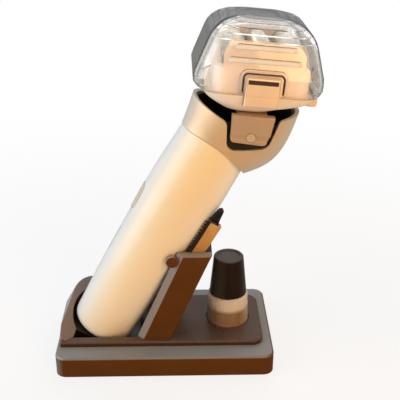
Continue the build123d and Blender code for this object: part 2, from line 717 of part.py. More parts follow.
# Heel socket: plastic insert with two pins in its recess
with BuildPart() as charge_socket:
    with BuildSketch(GRIP.offset(GRIP_BOTTOM)):
        RectangleRounded(SOCKET_SIZE[1], SOCKET_SIZE[0], SOCKET_SIZE[2])
    extrude(amount=SOCKET_LEN)
    with BuildSketch(GRIP.offset(GRIP_BOTTOM)):
        RectangleRounded(
            SOCKET_SIZE[1] - 2 * SOCKET_WALL,
            SOCKET_SIZE[0] - 2 * SOCKET_WALL,
            SOCKET_SIZE[2] - SOCKET_WALL,
        )
    extrude(amount=SOCKET_LEN - SOCKET_BASE, mode=Mode.SUBTRACT)
    with BuildSketch(GRIP.offset(GRIP_BOTTOM)):
        with Locations((0, -SOCKET_PIN_Y), (0, SOCKET_PIN_Y)):
            Circle(SOCKET_PIN_R)
    extrude(amount=SOCKET_LEN, mode=Mode.SUBTRACT)
save(charge_socket.part, "charge_socket")

with BuildPart() as charge_pins:
    with BuildSketch(GRIP.offset(GRIP_BOTTOM + SOCKET_PIN_SINK)):
        with Locations((0, -SOCKET_PIN_Y), (0, SOCKET_PIN_Y)):
            Circle(SOCKET_PIN_R)
    extrude(amount=SOCKET_LEN)
save(charge_pins.part, "charge_pins")

# Frame inside the grip: a flat tray with half rings that carry the battery
with BuildPart() as chassis:
    add(block(GRIP, CHASSIS_U, (-CHASSIS_HALF_Y, CHASSIS_HALF_Y), CHASSIS_S))
    for station, radius in CHASSIS_RINGS:
        add(rod(GRIP, (0, 0), radius, (station, station + RING_T)))
    add(block(GRIP, (-FAR, CHASSIS_U[0]), (-FAR, FAR), (-FAR, FAR)), mode=Mode.SUBTRACT)
    add(rod(GRIP, (BATTERY_U, 0), BATTERY_R, BATTERY_S), mode=Mode.SUBTRACT)
save(chassis.part, "chassis")

with BuildPart() as battery_cell:
    add(rod(GRIP, (BATTERY_U, 0), BATTERY_R, (BATTERY_S[0], BATTERY_S[1] - BATTERY_TIP[1])))
    add(rod(GRIP, (BATTERY_U, 0), BATTERY_TIP[0], (BATTERY_S[1] - BATTERY_TIP[1], BATTERY_S[1])))
save(battery_cell.part, "battery_cell")

save(block(GRIP, BOARD_U, (-BOARD_HALF_Y, BOARD_HALF_Y), BOARD_S), "circuit_board")
with BuildPart() as board_spacers:
    for v in (-SPACER_Y, SPACER_Y):
        for s in SPACER_S:
            ends = ((v - SPACER_HALF, v + SPACER_HALF), (s - SPACER_HALF, s + SPACER_HALF))
            add(block(GRIP, (BOARD_U[1], CHASSIS_U[0]), *ends))
save(board_spacers.part, "board_spacers")

with BuildPart() as tact_switch:
    for reach, half in ((SWITCH_BODY_U, SWITCH_HALF), (SWITCH_END, STEM_HALF)):
        add(block(GRIP, (reach, BOARD_U[0]), (-half, half), (BUTTON_S - half, BUTTON_S + half)))
save(tact_switch.part, "tact_switch")

# Power button: a domed key in the grip's front, with an inner flange and a stem
button_skin = grip_form(-BUTTON_PROUD)
flange_size = (
    BUTTON_SIZE[0] + 2 * BUTTON_RIM,
    BUTTON_SIZE[1] + 2 * BUTTON_RIM,
    BUTTON_SIZE[2] + BUTTON_RIM,
)
stem_span = (BUTTON_S - STEM_HALF, BUTTON_S + STEM_HALF)
with BuildPart() as power_button:
    add(front_plug(BUTTON_SIZE, BUTTON_S, FAR, BUTTON_FLANGE[0]))
    add(button_skin, mode=Mode.INTERSECT)
    add(front_plug(flange_size, BUTTON_S, -BUTTON_FLANGE[0], BUTTON_FLANGE[1]))
    add(block(GRIP, (BUTTON_FLANGE[1], BUTTON_STEM_END), (-STEM_HALF, STEM_HALF), stem_span))
save(power_button.part, "power_button")

with BuildPart() as indicator_lens:
    add(front_plug([n - 2 * FIT for n in LENS_SIZE], LENS_S, FAR, LENS_BACK))
    add(outer_form, mode=Mode.INTERSECT)
    add(grip_form(LENS_DEPTH), mode=Mode.SUBTRACT)
save(indicator_lens.part, "indicator_lens")

# Neck collar: flared metal shell with an open rim and a slot on each side for the head's arms
rim_start = GRIP.from_local_coords((-2 * COLLAR[0][1], 0, RIM_S))
rim_turn_u = (SLOT_X[0] - AXIS_FOOT[0] - LEAN_SIN * RIM_S) / LEAN_COS
rim_turn = GRIP.from_local_coords((rim_turn_u, 0, RIM_S))
rim_points = [
    (rim_start.X, rim_start.Z),
    (rim_turn.X, rim_turn.Z),
    (SLOT_X[0], SLOT_Z),
    (SLOT_X[1], SLOT_Z),
    (SLOT_X[2], RIM_Z),
    (FAR, RIM_Z),
    (FAR, 2 * FAR),
    (rim_start.X, 2 * FAR),
]
rim_corners = ((1, RIM_TURN_R), (2, SLOT_CORNER), (3, SLOT_CORNER), (4, RIM_END_R))
above_rim = slab(SIDE, rim_points, -FAR, FAR, rim_corners)
collar_outer = collar_form(0)
collar_inner = collar_form(COLLAR_WALL)
with BuildPart() as neck_collar:
    add(collar_outer)
    add(collar_inner, mode=Mode.SUBTRACT)
    add(below_seam, mode=Mode.SUBTRACT)
    add(above_rim, mode=Mode.SUBTRACT)
save(neck_collar.part, "neck_collar")

# Neck plug: closes the grip and lines the collar; its two posts carry the head's pivot pins
pivot = HEAD.from_local_coords((PIVOT_W, 0, PIVOT_H))
pivot_xz = (pivot.X, pivot.Z)
pivot_local = GRIP.to_local_coords(pivot)
pivot_us = (pivot_local.X, pivot_local.Z)
plug_top = block(GRIP, (-FAR, FAR), (-FAR, FAR), (NECK_PLUG_S[1], 2 * FAR))
post_points = [
    (pivot_us[0] - POST_R, POST_ROOT),
    (pivot_us[0] + POST_R, POST_ROOT),
    (pivot_us[0] + POST_R, pivot_us[1]),
    (pivot_us[0] - POST_R, pivot_us[1]),
]
plug_outer = collar_form(COLLAR_WALL + NECK_CLEAR)
liner_rim = [(x, z - LINER_DROP) for x, z in rim_points]
liner_cut = slab(SIDE, liner_rim, -FAR, FAR, rim_corners)
with BuildPart() as neck_liner:
    add(plug_outer)
    add(collar_form(COLLAR_WALL + NECK_CLEAR + LINER_T), mode=Mode.SUBTRACT)
    add(below_seam, mode=Mode.SUBTRACT)
    add(liner_cut, mode=Mode.SUBTRACT)
with BuildPart() as neck_plug:
    for side in (-1, 1):
        shield = sorted((side * SHIELD_PLATE_Y[0], side * SHIELD_PLATE_Y[1]))
        add(block(HEAD, SHIELD_PLATE_W, shield, SHIELD_PLATE_H))
        near, far = sorted((side * POST_Y[0], side * POST_Y[1]))
        add(slab(GRIP_SIDE, post_points, near, far))
        add(cross_rod(GRIP_SIDE, pivot_us, POST_R, near, far))
        add(cross_rod(GRIP_SIDE, pivot_us, PIN_R, near, far), mode=Mode.SUBTRACT)
    add(plug_outer - plug_top)
    add(plug_outer, mode=Mode.INTERSECT)
    add(below_seam, mode=Mode.SUBTRACT)
    add(neck_liner.part)
    add(rod(GRIP, (0, 0), NECK_SKIRT_R, (NECK_PLUG_S[0], NECK_SKIRT_S[1])))
    add(
        rod(GRIP, (0, 0), NECK_SKIRT_R - NECK_SKIRT_WALL, (NECK_PLUG_S[0], NECK_SKIRT_S[0])),
        mode=Mode.SUBTRACT,
    )
    with BuildSketch(GRIP.offset(SEAL_S[0])):
        Circle(NECK_SKIRT_R + OVER)
        Circle(SEAL_R[0], mode=Mode.SUBTRACT)
    extrude(amount=SEAL_S[1] - SEAL_S[0], mode=Mode.SUBTRACT)
save(neck_plug.part, "neck_plug")

with BuildPart() as neck_seal:
    with BuildSketch(GRIP.offset(SEAL_S[0])):
        Circle(SEAL_R[1])
        Circle(SEAL_R[0], mode=Mode.SUBTRACT)
    extrude(amount=SEAL_S[1] - SEAL_S[0])
save(neck_seal.part, "neck_seal")

with BuildPart() as pivot_pins:
    for side in (-1, 1):
        shank = sorted((side * POST_Y[0], side * (ARM_Y[1] - ARM_GROOVE_DEPTH)))
        head = sorted((side * (ARM_Y[1] - ARM_GROOVE_DEPTH), side * ARM_Y[1]))
        add(cross_rod(SIDE, pivot_xz, PIN_R, *shank))
        add(cross_rod(SIDE, pivot_xz, PIN_HEAD_R, *head))
save(pivot_pins.part, "pivot_pins")

# Head: yoke with two arms, a bridge and a stem; the frame sits on it
with BuildPart() as swivel_yoke:
    for side in (-1, 1):
        near, far = sorted((side * ARM_Y[0], side * ARM_Y[1]))
        add(slab(HEAD_SIDE, ARM_OUTLINE, near, far, ARM_CORNERS))
        groove = sorted((side * (ARM_Y[1] - ARM_GROOVE_DEPTH), side * FAR))
        add(block(HEAD, (-FAR, FAR), groove, ARM_GROOVE), mode=Mode.SUBTRACT)
        add(cross_rod(SIDE, pivot_xz, PIN_R + PIN_CLEAR, near, far), mode=Mode.SUBTRACT)
        add(cross_rod(SIDE, pivot_xz, PIN_HEAD_R + PIN_HEAD_CLEAR, *groove), mode=Mode.SUBTRACT)
    add(block(HEAD, BRIDGE_W, (-BRIDGE_HALF_Y, BRIDGE_HALF_Y), BRIDGE_H))
    add(block(HEAD, STEM_W, (-STEM_HALF_D, STEM_HALF_D), (BRIDGE_H[1], PIT[3])))
save(swivel_yoke.part, "swivel_yoke")

# Head frame: metal bowl with a motor pit, a tray above it, and a ledge for the deck
key_spans = {side: sorted((side * KEY_Y[0], side * KEY_Y[1])) for side in (-1, 1)}
key_room = {side: sorted((side * (KEY_Y[0] - KEY_TRAVEL - KEY_GAP), side * FAR)) for side in (-1, 1)}
key_half = KEY_HALF_W + KEY_GAP
trim_half_room = TRIM_HALF_Y + 2 * FIT
trim_room = block(HEAD, (TRIM_W[0] - TRIM_SWING_GAP, FAR), (-trim_half_room, trim_half_room), (-FAR, 0))
trim_pin_at = (TRIM_W[0] + 2 * TRIM_PIN_R, TRIM_H[0] + 2 * TRIM_PIN_R)
with BuildPart() as head_frame:
    add(bowl(HEAD, FRAME))
    add(block(HEAD, (PIT[0], PIT[1]), (-PIT[2], PIT[2]), (PIT[3], 0)), mode=Mode.SUBTRACT)
    add(block(HEAD, (TRAY[0], TRAY[1]), (-TRAY[2], TRAY[2]), (TRAY[3], 0)), mode=Mode.SUBTRACT)
    add(
        block(HEAD, (-DECK_HALF_W, DECK_HALF_W), (-DECK_HALF_Y, DECK_HALF_Y), (FRAME_TOP - DECK_T, 0)),
        mode=Mode.SUBTRACT,
    )
    add(block(HEAD, STEM_W, (-STEM_HALF_D, STEM_HALF_D), (-FAR, PIT[3] + OVER)), mode=Mode.SUBTRACT)
    for side in (-1, 1):
        key_pocket = block(HEAD, (-key_half, key_half), key_room[side], (KEY_H[0] - KEY_GAP, 0))
        add(key_pocket, mode=Mode.SUBTRACT)
        bore = sorted((side * TRAY[2], side * FAR))
        add(cross_rod(HEAD_SIDE, (0, KEY_STEM_H), KEY_STEM_R + PIN_CLEAR, *bore), mode=Mode.SUBTRACT)
    add(trim_room, mode=Mode.SUBTRACT)
    for side in (-1, 1):
        hole = sorted((side * TRIM_HALF_Y, side * (TRIM_HALF_Y + TRIM_PIN_HOLE)))
        add(cross_rod(HEAD_SIDE, trim_pin_at, TRIM_PIN_R, *hole), mode=Mode.SUBTRACT)
save(head_frame.part, "head_frame")

# Linear motor: core with a post, coil round it, and the moving plate with magnet and drive pins
core_middle = (CORE_W[0] + CORE_W[1]) / 2
with BuildPart() as motor_core:
    add(block(HEAD, CORE_W, (-CORE_HALF_Y, CORE_HALF_Y), CORE_H[:2]))
    with BuildSketch(HEAD.offset(CORE_H[1])):
        with Locations((core_middle, 0)):
            Rectangle(*CORE_POST)
    extrude(amount=CORE_H[2] - CORE_H[1])
save(motor_core.part, "motor_core")

with BuildPart() as motor_coil:
    with BuildSketch(HEAD.offset(CORE_H[1] + FIT)):
        with Locations((core_middle, 0)):
            RectangleRounded(*COIL_SIZE)
            Rectangle(*COIL_HOLE, mode=Mode.SUBTRACT)
    extrude(amount=CORE_H[2] - CORE_H[1] - 2 * FIT)
save(motor_coil.part, "motor_coil")

drive_w = (*FOIL_W, 0.0)
with BuildPart() as drive_plate:
    with BuildSketch(HEAD.offset(MOVER_H[0])):
        RectangleRounded(*MOVER_SIZE)
    extrude(amount=MOVER_H[1] - MOVER_H[0])
    with BuildSketch(HEAD.offset(MOVER_H[0])):
        with Locations(*[(w, 0) for w in drive_w]):
            Circle(DRIVE_PIN_R)
    extrude(amount=FOIL_AXIS_H - BLADE_R - MOVER_H[0])
save(drive_plate.part, "drive_plate")

with BuildPart() as drive_magnet:
    with BuildSketch(HEAD.offset(MOVER_H[0] - MAGNET_T)):
        with Locations((core_middle, 0)):
            Rectangle(*MAGNET_SIZE)
    extrude(amount=MAGNET_T)
save(drive_magnet.part, "drive_magnet")

# Deck plate over the motor, with a slot for each drive pin
slot_half = DRIVE_PIN_R + DRIVE_TRAVEL + DRIVE_SLOT_GAP
with BuildPart() as head_deck:
    with BuildSketch(HEAD.offset(FRAME_TOP - DECK_T)):
        Rectangle(2 * (DECK_HALF_W - FIT), 2 * (DECK_HALF_Y - FIT))
        with Locations(*[(w, 0) for w in drive_w]):
            Rectangle(2 * (DRIVE_PIN_R + DRIVE_SLOT_GAP), 2 * slot_half, mode=Mode.SUBTRACT)
    extrude(amount=DECK_T)
save(head_deck.part, "head_deck")

# Inner blades: a slitted half tube on a plastic carrier, one for each foil, and one for the comb
blade_foot = FOIL_AXIS_H - BLADE_R
carrier_top = FOIL_AXIS_H - CARRIER_DROP


def half_tube(centre_w, radius, thickness, half_y, foot):
    """Arched strip along Y: a half tube on straight legs down to the foot height."""
    with BuildPart(mode=Mode.PRIVATE) as body:
        with BuildSketch(HEAD_SIDE.offset(-half_y)):
            with BuildLine():
                feet = []
                for reach in (radius, radius - thickness):
                    left, right = centre_w - reach, centre_w + reach
                    Line((left, foot), (left, FOIL_AXIS_H))
                    crown = (centre_w, FOIL_AXIS_H + reach)
                    ThreePointArc((left, FOIL_AXIS_H), crown, (right, FOIL_AXIS_H))
                    Line((right, FOIL_AXIS_H), (right, foot))
                    feet.append(((left, foot), (right, foot)))
                Line(feet[0][0], feet[1][0])
                Line(feet[0][1], feet[1][1])
            make_face()
        extrude(amount=2 * half_y)
    return body.part


with BuildPart() as inner_blades:
    for w in drive_w:
        add(half_tube(w, BLADE_R, BLADE_T, BLADE_HALF_Y, carrier_top - BLADE_SKIRT))
    slit_pitch = 2 * BLADE_HALF_Y / (BLADE_SLITS + 1)
    for index in range(BLADE_SLITS):
        y = -BLADE_HALF_Y + (index + 1) * slit_pitch
        slit = (y - BLADE_SLIT / 2, y + BLADE_SLIT / 2)
        add(block(HEAD, (-FAR, FAR), slit, (FOIL_AXIS_H - BLADE_SLIT_DROP, FAR)), mode=Mode.SUBTRACT)
save(inner_blades.part, "inner_blades")

with BuildPart() as blade_carriers:
    inner = BLADE_R - BLADE_T
    for w in drive_w:
        add(block(HEAD, (w - inner, w + inner), (-BLADE_HALF_Y, BLADE_HALF_Y), (blade_foot, carrier_top)))
save(blade_carriers.part, "blade_carriers")

# Foil cassette: frame with end plates, two foils, and the slotted comb bar between them
with BuildPart() as foil_frame:
    with BuildSketch(HEAD.offset(FRAME_TOP)):
        RectangleRounded(2 * CASSETTE_HALF_W, 2 * CASSETTE_HALF_Y, CASSETTE_CORNER)
    extrude(amount=CASSETTE_DECK[1] - FRAME_TOP)
    top_rim = foil_frame.faces().filter_by(HEAD).sort_by(Axis.Z)[-1]
    chamfer(top_rim.edges(), CASSETTE_BEVEL)
    with BuildSketch(HEAD.offset(FRAME_TOP)):
        RectangleRounded(
            2 * (CASSETTE_HALF_W - CASSETTE_WALL),
            2 * (CASSETTE_HALF_Y - CASSETTE_WALL),
            CASSETTE_CORNER - CASSETTE_WALL,
        )
    extrude(amount=CASSETTE_DECK[0] - FRAME_TOP, mode=Mode.SUBTRACT)
    opening = FOIL_R + FIT
    for w in drive_w:
        add(
            block(HEAD, (w - opening, w + opening), (-FOIL_HALF_Y, FOIL_HALF_Y), (0, FAR)),
            mode=Mode.SUBTRACT,
        )
    end_points = [
        (-END_HALF_W, CASSETTE_DECK[0]),
        (END_HALF_W, CASSETTE_DECK[0]),
        (END_HALF_W, CASSETTE_TOP),
        (-END_HALF_W, CASSETTE_TOP),
    ]
    for side in (-1, 1):
        span = sorted((side * (FOIL_HALF_Y + FIT), side * CASSETTE_HALF_Y))
        add(slab(HEAD_SIDE, end_points, *span, ((2, END_CORNER), (3, END_CORNER))))
save(foil_frame.part, "foil_frame")

with BuildPart() as outer_foils:
    for w in FOIL_W:
        add(half_tube(w, FOIL_R, FOIL_T, FOIL_HALF_Y, CASSETTE_DECK[0]))
save(outer_foils.part, "outer_foils")

with BuildPart() as comb_bar:
    add(half_tube(0, FOIL_R, FOIL_T, FOIL_HALF_Y, CASSETTE_DECK[0]))
    comb_pitch = 2 * (FOIL_HALF_Y - COMB_END) / COMB_SLOTS
    comb_reach = (-COMB_SLOT[0] / 2, COMB_SLOT[0] / 2)
    for index in range(COMB_SLOTS):
        y = (2 * index + 1 - COMB_SLOTS) * comb_pitch / 2
        cut = (y - COMB_SLOT[1] / 2, y + COMB_SLOT[1] / 2)
        add(block(HEAD, comb_reach, cut, (FOIL_AXIS_H + COMB_SLOT_H, FAR)), mode=Mode.SUBTRACT)
save(comb_bar.part, "comb_bar")

# Protective cap: thin clear shell with a notch and rim round each button, and two ribs a side
cap_total = CAP_SECTIONS[-1][0]
cap_hollow = [(h - SHIELD_WALL * (max(h, 0) / cap_total) ** 2, *rest) for h, *rest in CAP_SECTIONS]
cap_outer = bowl(HEAD, CAP_SECTIONS, ruled=True)
cap_inner = bowl(HEAD, cap_hollow, -SHIELD_WALL, ruled=True)
notch_points = [
    (-NOTCH_HALF_W, -FAR),
    (NOTCH_HALF_W, -FAR),
    (NOTCH_HALF_W, NOTCH_TOP),
    (-NOTCH_HALF_W, NOTCH_TOP),
]
rim_w = NOTCH_HALF_W + NOTCH_RIM
rim_outline = [
    (-rim_w, NOTCH_FOOT),
    (rim_w, NOTCH_FOOT),
    (rim_w, NOTCH_TOP + NOTCH_RIM),
    (-rim_w, NOTCH_TOP + NOTCH_RIM),
]
notch_corners = ((2, NOTCH_CORNER), (3, NOTCH_CORNER))
rim_rounds = ((2, NOTCH_CORNER + NOTCH_RIM), (3, NOTCH_CORNER + NOTCH_RIM))
with BuildPart() as protective_cap:
    add(cap_outer)
    for side in (-1, 1):
        span = sorted((side * NOTCH_RIM_Y[0], side * NOTCH_RIM_Y[1]))
        add(slab(HEAD_SIDE, rim_outline, *span, rim_rounds))
        for h, half_w, y in zip(RIB_H, RIB_HALF_W, RIB_Y):
            rib = sorted((side * (y - RIB_SINK), side * (y + RIB_PROUD)))
            rib_points = [
                (-half_w, h - RIB_T / 2),
                (half_w, h - RIB_T / 2),
                (half_w, h + RIB_T / 2),
                (-half_w, h + RIB_T / 2),
            ]
            add(slab(HEAD_SIDE, rib_points, *rib, [(k, RIB_END_R) for k in range(4)]))
    add(cap_inner, mode=Mode.SUBTRACT)
    for side in (-1, 1):
        span = sorted((side * NOTCH_DEPTH, side * FAR))
        add(slab(HEAD_SIDE, notch_points, *span, notch_corners), mode=Mode.SUBTRACT)
save(protective_cap.part, "protective_cap")


def release_key(side):
    """Release button with its grip slot, seam groove and guide stem."""
    low, high = key_spans[side]
    outer = high if side > 0 else low
    with BuildPart(mode=Mode.PRIVATE) as body:
        add(block(HEAD, (-KEY_HALF_W, KEY_HALF_W), (low, high), KEY_H))
        face = body.faces().sort_by(Axis.Y)[0 if side < 0 else -1]
        fillet(face.edges(), KEY_EDGE)
        dip = sorted((outer, outer - side * KEY_SLOT_DEPTH))
        slot_w = KEY_HALF_W - KEY_SLOT_END
        add(block(HEAD, (-slot_w, slot_w), dip, KEY_SLOT_H), mode=Mode.SUBTRACT)
        line = sorted((outer, outer - side * KEY_LINE_DEPTH))
        add(block(HEAD, (-KEY_HALF_W, KEY_HALF_W), line, KEY_LINE_H), mode=Mode.SUBTRACT)
        stem = sorted((side * KEY_STEM_IN, side * (KEY_Y[0] + KEY_STEM_ROOT)))
        add(cross_rod(HEAD_SIDE, (0, KEY_STEM_H), KEY_STEM_R, *stem))
    return body.part


save(release_key(-1), "release_button_near")
save(release_key(1), "release_button_far")

# Trimmer: housing on two stub pins, fixed comb and sliding cutter
blade_room = (TRIM_W[0] + TRIM_ROOM_W, TRIM_W[0] + TRIM_ROOM_W + 2 * TRIM_BLADE_T + FIT)
room_half = TRIM_HALF_Y - TRIM_ROOM_END
with BuildPart() as trimmer_housing:
    add(block(HEAD, TRIM_W, (-TRIM_HALF_Y, TRIM_HALF_Y), TRIM_H))
    long_edges = trimmer_housing.edges().filter_by(Axis.Y)
    inner_edges = long_edges.sort_by(lambda edge: HEAD.to_local_coords(edge.center()).X)[:2]
    fillet(inner_edges.sort_by(Axis.Z)[0], TRIM_SWING_EDGE)
    long_edges = trimmer_housing.edges().filter_by(Axis.Y)
    fillet(long_edges.sort_by(lambda edge: HEAD.to_local_coords(edge.center()).X)[-2:], TRIM_EDGE)
    for side in (-1, 1):
        stub = sorted((side * TRIM_HALF_Y, side * (TRIM_HALF_Y + TRIM_STUB)))
        add(cross_rod(HEAD_SIDE, trim_pin_at, TRIM_PIN_R - PIN_CLEAR, *stub))
    add(block(HEAD, blade_room, (-room_half, room_half), (TRIM_BLADE_LOW, TRIM_H[1])), mode=Mode.SUBTRACT)
save(trimmer_housing.part, "trimmer_housing")


def toothed(low_w, half_y, bottom, top):
    """Thin toothed plate standing along Y, teeth up."""
    with BuildPart(mode=Mode.PRIVATE) as body:
        add(block(HEAD, (low_w, low_w + TRIM_BLADE_T), (-half_y, half_y), (bottom, top)))
        for index in range(TRIM_TEETH):
            y = (index - (TRIM_TEETH - 1) / 2) * TRIM_PITCH
            gap = (y - TRIM_TOOTH_GAP / 2, y + TRIM_TOOTH_GAP / 2)
            add(block(HEAD, (-FAR, FAR), gap, (top - TRIM_TOOTH_H, FAR)), mode=Mode.SUBTRACT)
    return body.part


comb_half = room_half - FIT
cutter_half = comb_half - CUTTER_TRAVEL
cutter_top = TRIM_H[1] - CUTTER_DROP
save(toothed(blade_room[0], comb_half, TRIM_BLADE_LOW, TRIM_H[1]), "trimmer_comb")
save(toothed(blade_room[0] + TRIM_BLADE_T, cutter_half, TRIM_BLADE_LOW + FIT, cutter_top), "trimmer_cutter")
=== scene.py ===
"""Shaver stand with its foil shaver, brush and oil bottle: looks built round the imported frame.

Everything is in metres in the frame of the CAD part: X from the shaver's heel to the oil bottle,
Y to the back, Z up, with the origin in the middle of the base's underside.
"""

import json
import logging
import math
from dataclasses import dataclass, replace
from enum import Enum

import bmesh
import bpy
import numpy as np
from mathutils import Matrix, Vector

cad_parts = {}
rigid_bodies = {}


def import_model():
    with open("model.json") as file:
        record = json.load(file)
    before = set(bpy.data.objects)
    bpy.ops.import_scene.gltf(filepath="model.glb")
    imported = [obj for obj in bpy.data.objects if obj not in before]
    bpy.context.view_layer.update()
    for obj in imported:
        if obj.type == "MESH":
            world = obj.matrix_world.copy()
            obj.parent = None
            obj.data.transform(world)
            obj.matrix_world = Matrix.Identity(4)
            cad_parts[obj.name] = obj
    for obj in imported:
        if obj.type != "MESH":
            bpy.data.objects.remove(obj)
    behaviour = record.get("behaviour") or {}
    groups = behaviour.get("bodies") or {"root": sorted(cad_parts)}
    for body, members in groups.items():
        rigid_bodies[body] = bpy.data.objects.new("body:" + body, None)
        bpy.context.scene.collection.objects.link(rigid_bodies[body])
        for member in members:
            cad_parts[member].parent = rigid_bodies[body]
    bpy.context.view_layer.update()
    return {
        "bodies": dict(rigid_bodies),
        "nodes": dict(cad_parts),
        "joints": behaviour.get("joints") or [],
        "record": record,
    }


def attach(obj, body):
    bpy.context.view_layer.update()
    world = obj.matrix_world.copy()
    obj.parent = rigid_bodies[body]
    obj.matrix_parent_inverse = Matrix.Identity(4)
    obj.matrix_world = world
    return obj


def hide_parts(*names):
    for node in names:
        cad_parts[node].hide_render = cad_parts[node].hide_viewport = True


MM = 0.001
LOG = logging.getLogger("shaver_stand")
Vec = tuple[float, float, float]
Tree = bpy.types.NodeTree
Socket = bpy.types.NodeSocket
# Local points, and the faces between them.
Shape = tuple[np.ndarray, np.ndarray]
# The way that the painted grey sheen on dark plastic faces: up and to the left, towards the window.
WINDOW_SIDE = (-0.6, 0.0, 0.8)
# How far a face has turned that way where the painted sheen starts and is full.
PAINTED_SHEEN_TURN = (0.15, 0.75)
# Cosines of an edge's turn where its painted highlight starts, and is full.
EDGE_HIGHLIGHT_TURN = (0.99, 0.8)
# The part of the cloud noise that is spread over a change of gloss.
CLOUD_SPAN = (0.3, 0.7)
# What the cap's wall leaves of the light passing through it.
SMOKE_TINT = "#55585c"
COAT_ROUGHNESS = 0.18
# How far light scatters inside milky plastic, and its shares for red, green and blue.
SCATTER_REACH = 1.5 * MM
SCATTER_SHARES = (1.0, 0.7, 0.4)
BUMP_STRENGTH = 0.6
# Half the height over which the oil's tone turns into the empty bottle's.
WET_EDGE_MM = 1.0
# Drawn metal's noise runs this much longer along Y.
DRAWN_STRETCH = (1.0, 0.02, 1.0)
# Divides the wave texture's scale, so that a turn of wire is just under two grain sizes wide.
WAVE_SHARE = 6
# The share of its radius that a strand loses by its tip.
STRAND_TAPER = 0.45


class Pattern(Enum):
    """How a surface was made, which sets the shape of its fine relief."""

    MOULDED = "spark-eroded mould grain, cloudy at two sizes"
    BLASTED = "bead-blasted and anodised, fine even pits"
    DRAWN = "drawn or ground along Y, fine parallel lines"
    WOUND = "wire wound in level turns"
    SMOOTH = "polished mould, only a faint waviness"


def linear(code: str) -> tuple[float, float, float, float]:
    """Turns an sRGB hex colour into linear RGBA.

    Args:
        code: Six hex digits after a hash sign.

    Returns:
        Linear red, green, blue and an alpha of one.
    """
    parts = [int(code[i:i + 2], 16) / 255 for i in (1, 3, 5)]
    red, green, blue = (p / 12.92 if p <= 0.04045 else ((p + 0.055) / 1.055) ** 2.4 for p in parts)
    return red, green, blue, 1.0


def shade(colour: tuple[float, ...], factor: float) -> tuple[float, float, float, float]:
    """Scales a linear colour.

    Args:
        colour: Linear RGBA.
        factor: What red, green and blue are multiplied by.

    Returns:
        The scaled colour, clipped to one.
    """
    red, green, blue = (min(1.0, c * factor) for c in colour[:3])
    return red, green, blue, 1.0


def add_node(tree: Tree, kind: str, settings: dict | None = None,
             inputs: dict | None = None) -> bpy.types.Node:
    """Adds one shader node with its settings and links.

    Args:
        tree: The material's or world's node tree.
        kind: The node's type name after "ShaderNode".
        settings: Attribute values.
        inputs: Socket name or number to a plain value or an output socket.

    Returns:
        The new node.
    """
    node = tree.nodes.new("ShaderNode" + kind)
    for key, value in (settings or {}).items():
        setattr(node, key, value)
    for key, value in (inputs or {}).items():
        if isinstance(value, Socket):
            tree.links.new(value, node.inputs[key])
        else:
            node.inputs[key].default_value = value
    return node


def ranged(tree: Tree, value: Socket, low: float, high: float, to_low: float = 0.0,
           to_high: float = 1.0) -> Socket:
    """Maps a value from one range to another, held at the ends.

    Args:
        tree: The node tree.
        value: The value's socket.
        low: Start of the first range.
        high: Its end.
        to_low: Start of the second range.
        to_high: Its end.

    Returns:
        The mapped value's socket.
    """
    return add_node(tree, "MapRange", {}, {
        "Value": value, "From Min": low, "From Max": high, "To Min": to_low, "To Max": to_high}).outputs[0]


def blend(tree: Tree, share: Socket, first: object, second: object) -> Socket:
    """Mixes two colours.

    Args:
        tree: The node tree.
        share: How much of the second colour there is.
        first: A colour or its socket.
        second: The other one.

    Returns:
        The mixed colour's socket.
    """
    return add_node(tree, "Mix", {"data_type": "RGBA"}, {
        "Factor": share, "A": first, "B": second}).outputs["Result"]


def combine(tree: Tree, operation: str, *values: object) -> Socket:
    """Works one value out of others.

    Args:
        tree: The node tree.
        operation: The Math node's operation.
        values: Plain values or sockets.

    Returns:
        The result's socket.
    """
    return add_node(tree, "Math", {"operation": operation}, dict(enumerate(values))).outputs[0]


def ray_kinds(tree: Tree) -> tuple[Socket, Socket]:
    """Tells rays apart by how they reach the eye.

    Args:
        tree: The node tree.

    Returns:
        One for rays seen straight or through clear plastic, and one for mirror reflections.
    """
    rays = add_node(tree, "LightPath")
    seen = combine(tree, "MAXIMUM", rays.outputs["Is Camera Ray"], rays.outputs["Is Transmission Ray"])
    return seen, rays.outputs["Is Glossy Ray"]


